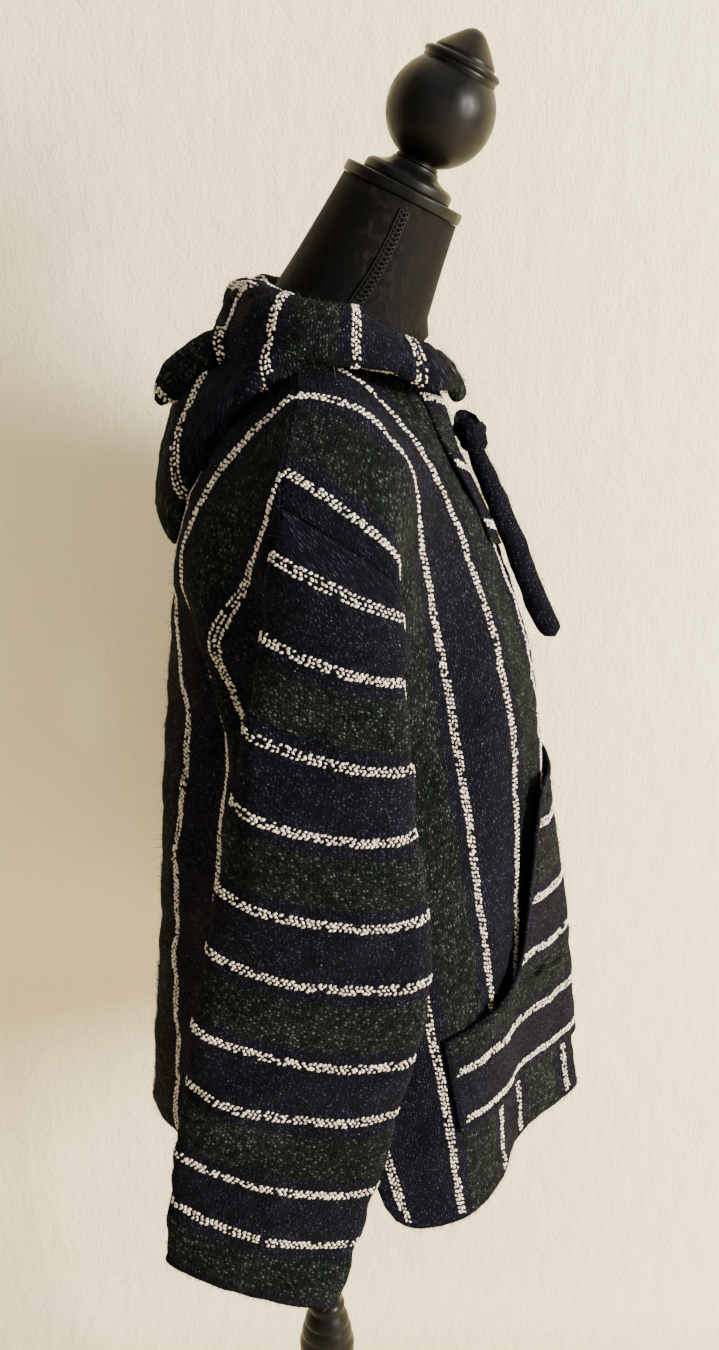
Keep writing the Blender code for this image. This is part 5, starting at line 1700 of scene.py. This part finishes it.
def rounded(profile: Sequence[tuple[float, float]], reach: float) -> np.ndarray:
    """A profile with each corner turned over a short curve, as a lathe leaves it.

    Args:
        profile: Radii and heights of the corners.
        reach: How far the curve begins before a corner.

    Returns:
        The finer profile.
    """
    corners = np.array(profile)
    made = [corners[0]]
    for before, corner, after in zip(corners, corners[1:], corners[2:]):
        ends = []
        for other in (before, after):
            way = np.linalg.norm(other - corner)
            ends.append(corner + (other - corner) / way * min(reach, 0.45 * way))
        for t in np.linspace(0.0, 1.0, 5):
            made.append((1 - t) ** 2 * ends[0] + 2 * t * (1 - t) * corner + t**2 * ends[1])
    return np.array([*made, corners[-1]])


def turned(name: str, profile: np.ndarray, material: bpy.types.Material, segments: int,
           place: Optional[Matrix] = None) -> bpy.types.Object:
    """A turned solid: a grid wrapped round the axis along a profile from top to bottom.

    Args:
        name: The piece's name.
        profile: Radii and heights, beginning and ending on the axis.
        material: Its finish.
        segments: How many facets go round.
        place: Where it stands, if not upright on the origin.

    Returns:
        The new object.
    """
    turns = np.linspace(0.0, 2 * math.pi, segments + 1)
    radii, heights = profile[:, 0:1], profile[:, 1:2] + 0.0 * turns
    bm = shaped_grid(np.stack((radii * np.cos(turns), radii * np.sin(turns), heights), axis=-1))
    if place is not None:
        bmesh.ops.transform(bm, matrix=place, verts=bm.verts)
    bmesh.ops.recalc_face_normals(bm, faces=bm.faces)
    return link(name, bm, material)


@dataclass
class DressForm:
    """The limbless form with its braid, neck plate, collar, finial, column and base."""

    finishes: Finishes
    neck_lean: float = 25.6
    plate_foot: tuple[float, float, float] = (0.0, -0.0662, 1.3942)
    ball_radius: float = 0.0427
    ball_height: float = 0.0702
    finial_foot: float = 0.0279
    finial_neck: float = 0.0180
    level_step: float = 0.008
    braid_width: float = 0.0092
    braid_wave: float = 0.0075

    def build(self) -> None:
        """Makes every piece of the form and its stand."""
        self.torso()
        for side in Side:
            self.braid(side)
        on_neck = (Matrix.Translation(Vector(self.plate_foot))
                   @ Matrix.Rotation(math.radians(self.neck_lean), 4, "X"))
        for name, profile, segments, place, node in (
                ("turned_neck_plate", rounded(PLATE_PROFILE, 0.0008), 96, on_neck, "neck_plate"),
                ("turned_collar", rounded(COLLAR_PROFILE, 0.0016), 96, on_neck, "neck_collar"),
                ("turned_finial", self.finial_profile(), 96, on_neck, "finial"),
                ("turned_column", rounded(COLUMN_PROFILE, 0.0022), 72, None, "column"),
                ("turned_base", rounded(BASE_PROFILE, 0.0040), 96, None, "base")):
            item = turned(name, profile, self.finishes.lacquer, segments, place)
            settle(item, Slot.LACQUER, node)

    def finial_profile(self) -> np.ndarray:
        """The cap's steps, then the ball, then its narrow foot.

        Returns:
            Radii and heights along the neck's axis.
        """
        upper = math.acos((FINIAL_CAP[-1][1] - self.ball_height) / self.ball_radius)
        lower = math.pi - math.asin(self.finial_neck / self.ball_radius) * 0.92
        angles = np.linspace(upper, lower, 60)
        ball = np.stack((self.ball_radius * np.sin(angles),
                         self.ball_height + self.ball_radius * np.cos(angles)), axis=1)
        foot = ((self.finial_neck, self.finial_foot + 0.0016), (self.finial_neck, self.finial_foot),
                (0.0, self.finial_foot))
        cap = rounded(FINIAL_CAP + (tuple(ball[0]),), 0.0011)
        return np.vstack((cap, ball[1:], rounded((tuple(ball[-1]),) + foot, 0.0008)[1:]))

    def ring(self, height: float, turns: np.ndarray) -> np.ndarray:
        """A section of the form at a height in its table, leaning with the neck.

        Args:
            height: The section's height at its middle.
            turns: Angles round it, from the left to the back.

        Returns:
            One place for each turn.
        """
        table = np.array(FORM_SECTIONS)
        middle_y, half_width, half_depth, lean, squareness = through(table[:, 0], table[:, 1:],
                                                                     height)
        x, y = (half * np.sign(way) * np.abs(way) ** (2 / squareness)
                for half, way in ((half_width, np.cos(turns)), (half_depth, np.sin(turns))))
        lean = math.radians(lean)
        return np.stack((x, middle_y + y * math.cos(lean), height + y * math.sin(lean)), axis=-1)

    def torso(self) -> None:
        """The smooth torso and neck, closed at both ends."""
        heights = [row[0] for row in FORM_SECTIONS]
        levels = np.unique(np.concatenate([
            np.linspace(low, high, max(2, round((high - low) / self.level_step) + 1))
            for low, high in zip(heights, heights[1:])]))
        turns = np.linspace(0.0, 2 * math.pi, 97)
        rings = np.array([self.ring(level, turns) for level in levels])
        bottom, top = (np.broadcast_to(middle, rings[:1].shape)
                       for middle in (rings[0].mean(axis=0), rings[-1][:-1].mean(axis=0)))
        bm = shaped_grid(np.concatenate((bottom, rings, top)))
        bmesh.ops.recalc_face_normals(bm, faces=bm.faces)
        settle(link("satin_form", bm, self.finishes.satin), Slot.SATIN, "form_torso")

    def braid(self, side: Side) -> None:
        """Gimp braid down one side of the neck: two cords that weave between straight edge cords.

        Args:
            side: The side of the neck.
        """
        heights = np.linspace(BRAID_LINE[0][0], BRAID_LINE[-1][0], 150)
        ahead = looked_up(BRAID_LINE, heights)
        waves = (heights - heights[0]) * 1.06 * 2 * math.pi / self.braid_wave
        around = np.linspace(0.0, 2 * math.pi, 7)
        bm = bmesh.new()
        for edge, phase, swing, radius in ((0.0, 0.0, 0.36, 0.00075), (0.0, math.pi, 0.36, 0.00075),
                                           (-0.46, 0.0, 0.0, 0.0006), (0.46, 0.0, 0.0, 0.0006)):
            across = edge + swing * np.sin(waves + phase)
            turn = -np.arcsin((ahead + across * self.braid_width) / 0.060)
            path = np.array([self.ring(h, np.array([t]))[0] for h, t in zip(heights, turn)])
            outwards = unit(path * (1.0, 0.0, 0.0))
            lift = 0.0010 + 0.0004 * np.cos(waves + phase) * (swing > 0)
            path = (path + outwards * lift[:, None]) * (side.value, 1.0, 1.0)
            rings = rings_along(path, (side.value, 0.0, 0.0), around) * radius
            strand = shaped_grid(path[:, None] + rings)
            mesh = bpy.data.meshes.new("strand")
            strand.to_mesh(mesh)
            strand.free()
            bm.from_mesh(mesh)
            bpy.data.meshes.remove(mesh)
        bmesh.ops.holes_fill(bm, edges=[edge for edge in bm.edges if edge.is_boundary], sides=0)
        bmesh.ops.recalc_face_normals(bm, faces=bm.faces)
        settle(link("gimp_braid_" + side.label, bm, self.finishes.gimp), Slot.LACE,
               "form_braid_" + side.label)


@dataclass(frozen=True)
class Lamp:
    """A square soft light."""

    name: str
    place: tuple[float, float, float]
    aim: tuple[float, float, float]
    size: float
    power: float
    colour: tuple[float, float, float]

    def hang(self) -> None:
        """Hangs the lamp at its place and turns it to its aim."""
        lamp = bpy.data.lights.new(self.name, "AREA")
        lamp.size, lamp.energy, lamp.color = self.size, self.power, self.colour
        item = bpy.data.objects.new(self.name, lamp)
        item.location = self.place
        way = Vector(self.aim) - Vector(self.place)
        item.rotation_euler = way.to_track_quat("-Z", "Y").to_euler()
        bpy.context.scene.collection.objects.link(item)


@dataclass
class Studio:
    """The stage, the soft lights and the camera at the photograph's view."""

    wall_x: float = 0.315
    cove: float = 0.06
    lamps: tuple[Lamp, ...] = (
        Lamp("window", (-2.3, -3.7, 2.05), (0.0, 0.0, 1.0), 1.35, 755.0, (1.0, 0.950, 0.868)),
        Lamp("fill", (-2.6, 0.6, 1.9), (0.0, 0.0, 1.0), 2.0, 11.0, (1.0, 0.96, 0.90)),
        Lamp("top", (-0.6, 0.0, 3.1), (0.1, 0.0, 0.8), 1.8, 14.0, (1.0, 0.96, 0.90)))
    surround: tuple[float, float, float, float] = (1.0, 0.955, 0.89, 1.0)
    surround_strength: float = 0.245
    camera_place: tuple[float, float, float] = (-1.16, -0.034, 1.40)
    camera_dip: float = 19.1
    sensor: float = 36.0
    # The lens is matched to the photograph as 1400 of its pixels over its height of 1350.
    lens: float = 1400.0 / 1350.0 * 36.0

    def build(self) -> None:
        """Makes the stage, the lights and the camera."""
        self.stage()
        for lamp in self.lamps:
            lamp.hang()
        world = bpy.data.worlds.new("even_surround")
        world.use_nodes = True
        background = world.node_tree.nodes["Background"]
        background.inputs["Color"].default_value = self.surround
        background.inputs["Strength"].default_value = self.surround_strength
        bpy.context.scene.world = world
        self.camera()

    def stage(self) -> None:
        """A pale floor that turns up into a warm wall behind the part."""
        corner = [(self.wall_x - self.cove + self.cove * math.sin(t),
                   self.cove - self.cove * math.cos(t)) for t in np.linspace(0.0, math.pi / 2, 13)]
        wall = [(self.wall_x, height) for height in (0.6, 1.4, 3.2)]
        outline = np.array([(-3.5, 0.0), (-1.0, 0.0), *corner, *wall])
        x, y, z = np.broadcast_arrays(outline[:, 0:1], np.linspace(-3.5, 3.5, 9), outline[:, 1:2])
        bm = shaped_grid(np.stack((x, y, z - 0.0002), axis=-1))
        link("plain_wall_and_floor", bm, Plaster().make())

    def camera(self) -> None:
        """The photograph's camera: from the wearer's right, looking a little down."""
        lens = bpy.data.cameras.new("photo_view")
        lens.sensor_width, lens.sensor_fit, lens.lens = self.sensor, "AUTO", self.lens
        item = bpy.data.objects.new("photo_view", lens)
        item.location = self.camera_place
        item.rotation_euler = (math.radians(90.0 - self.camera_dip), 0.0, math.radians(-90.0))
        bpy.context.scene.collection.objects.link(item)
        bpy.context.scene.camera = item


def main() -> None:
    """Builds the part, its stage and the view, and reports each piece."""
    logging.basicConfig(level=logging.INFO, format="%(name)s: %(message)s")
    finishes = Finishes()
    for assembly in (Studio(), Ties(finishes), Garment(finishes), DressForm(finishes)):
        before = set(bpy.data.meshes)
        assembly.build()
        for mesh in sorted(set(bpy.data.meshes) - before, key=lambda made: made.name):
            log.info("%s: %s, %d faces", type(assembly).__name__, mesh.name, len(mesh.polygons))


if __name__ == "__main__":
    main()
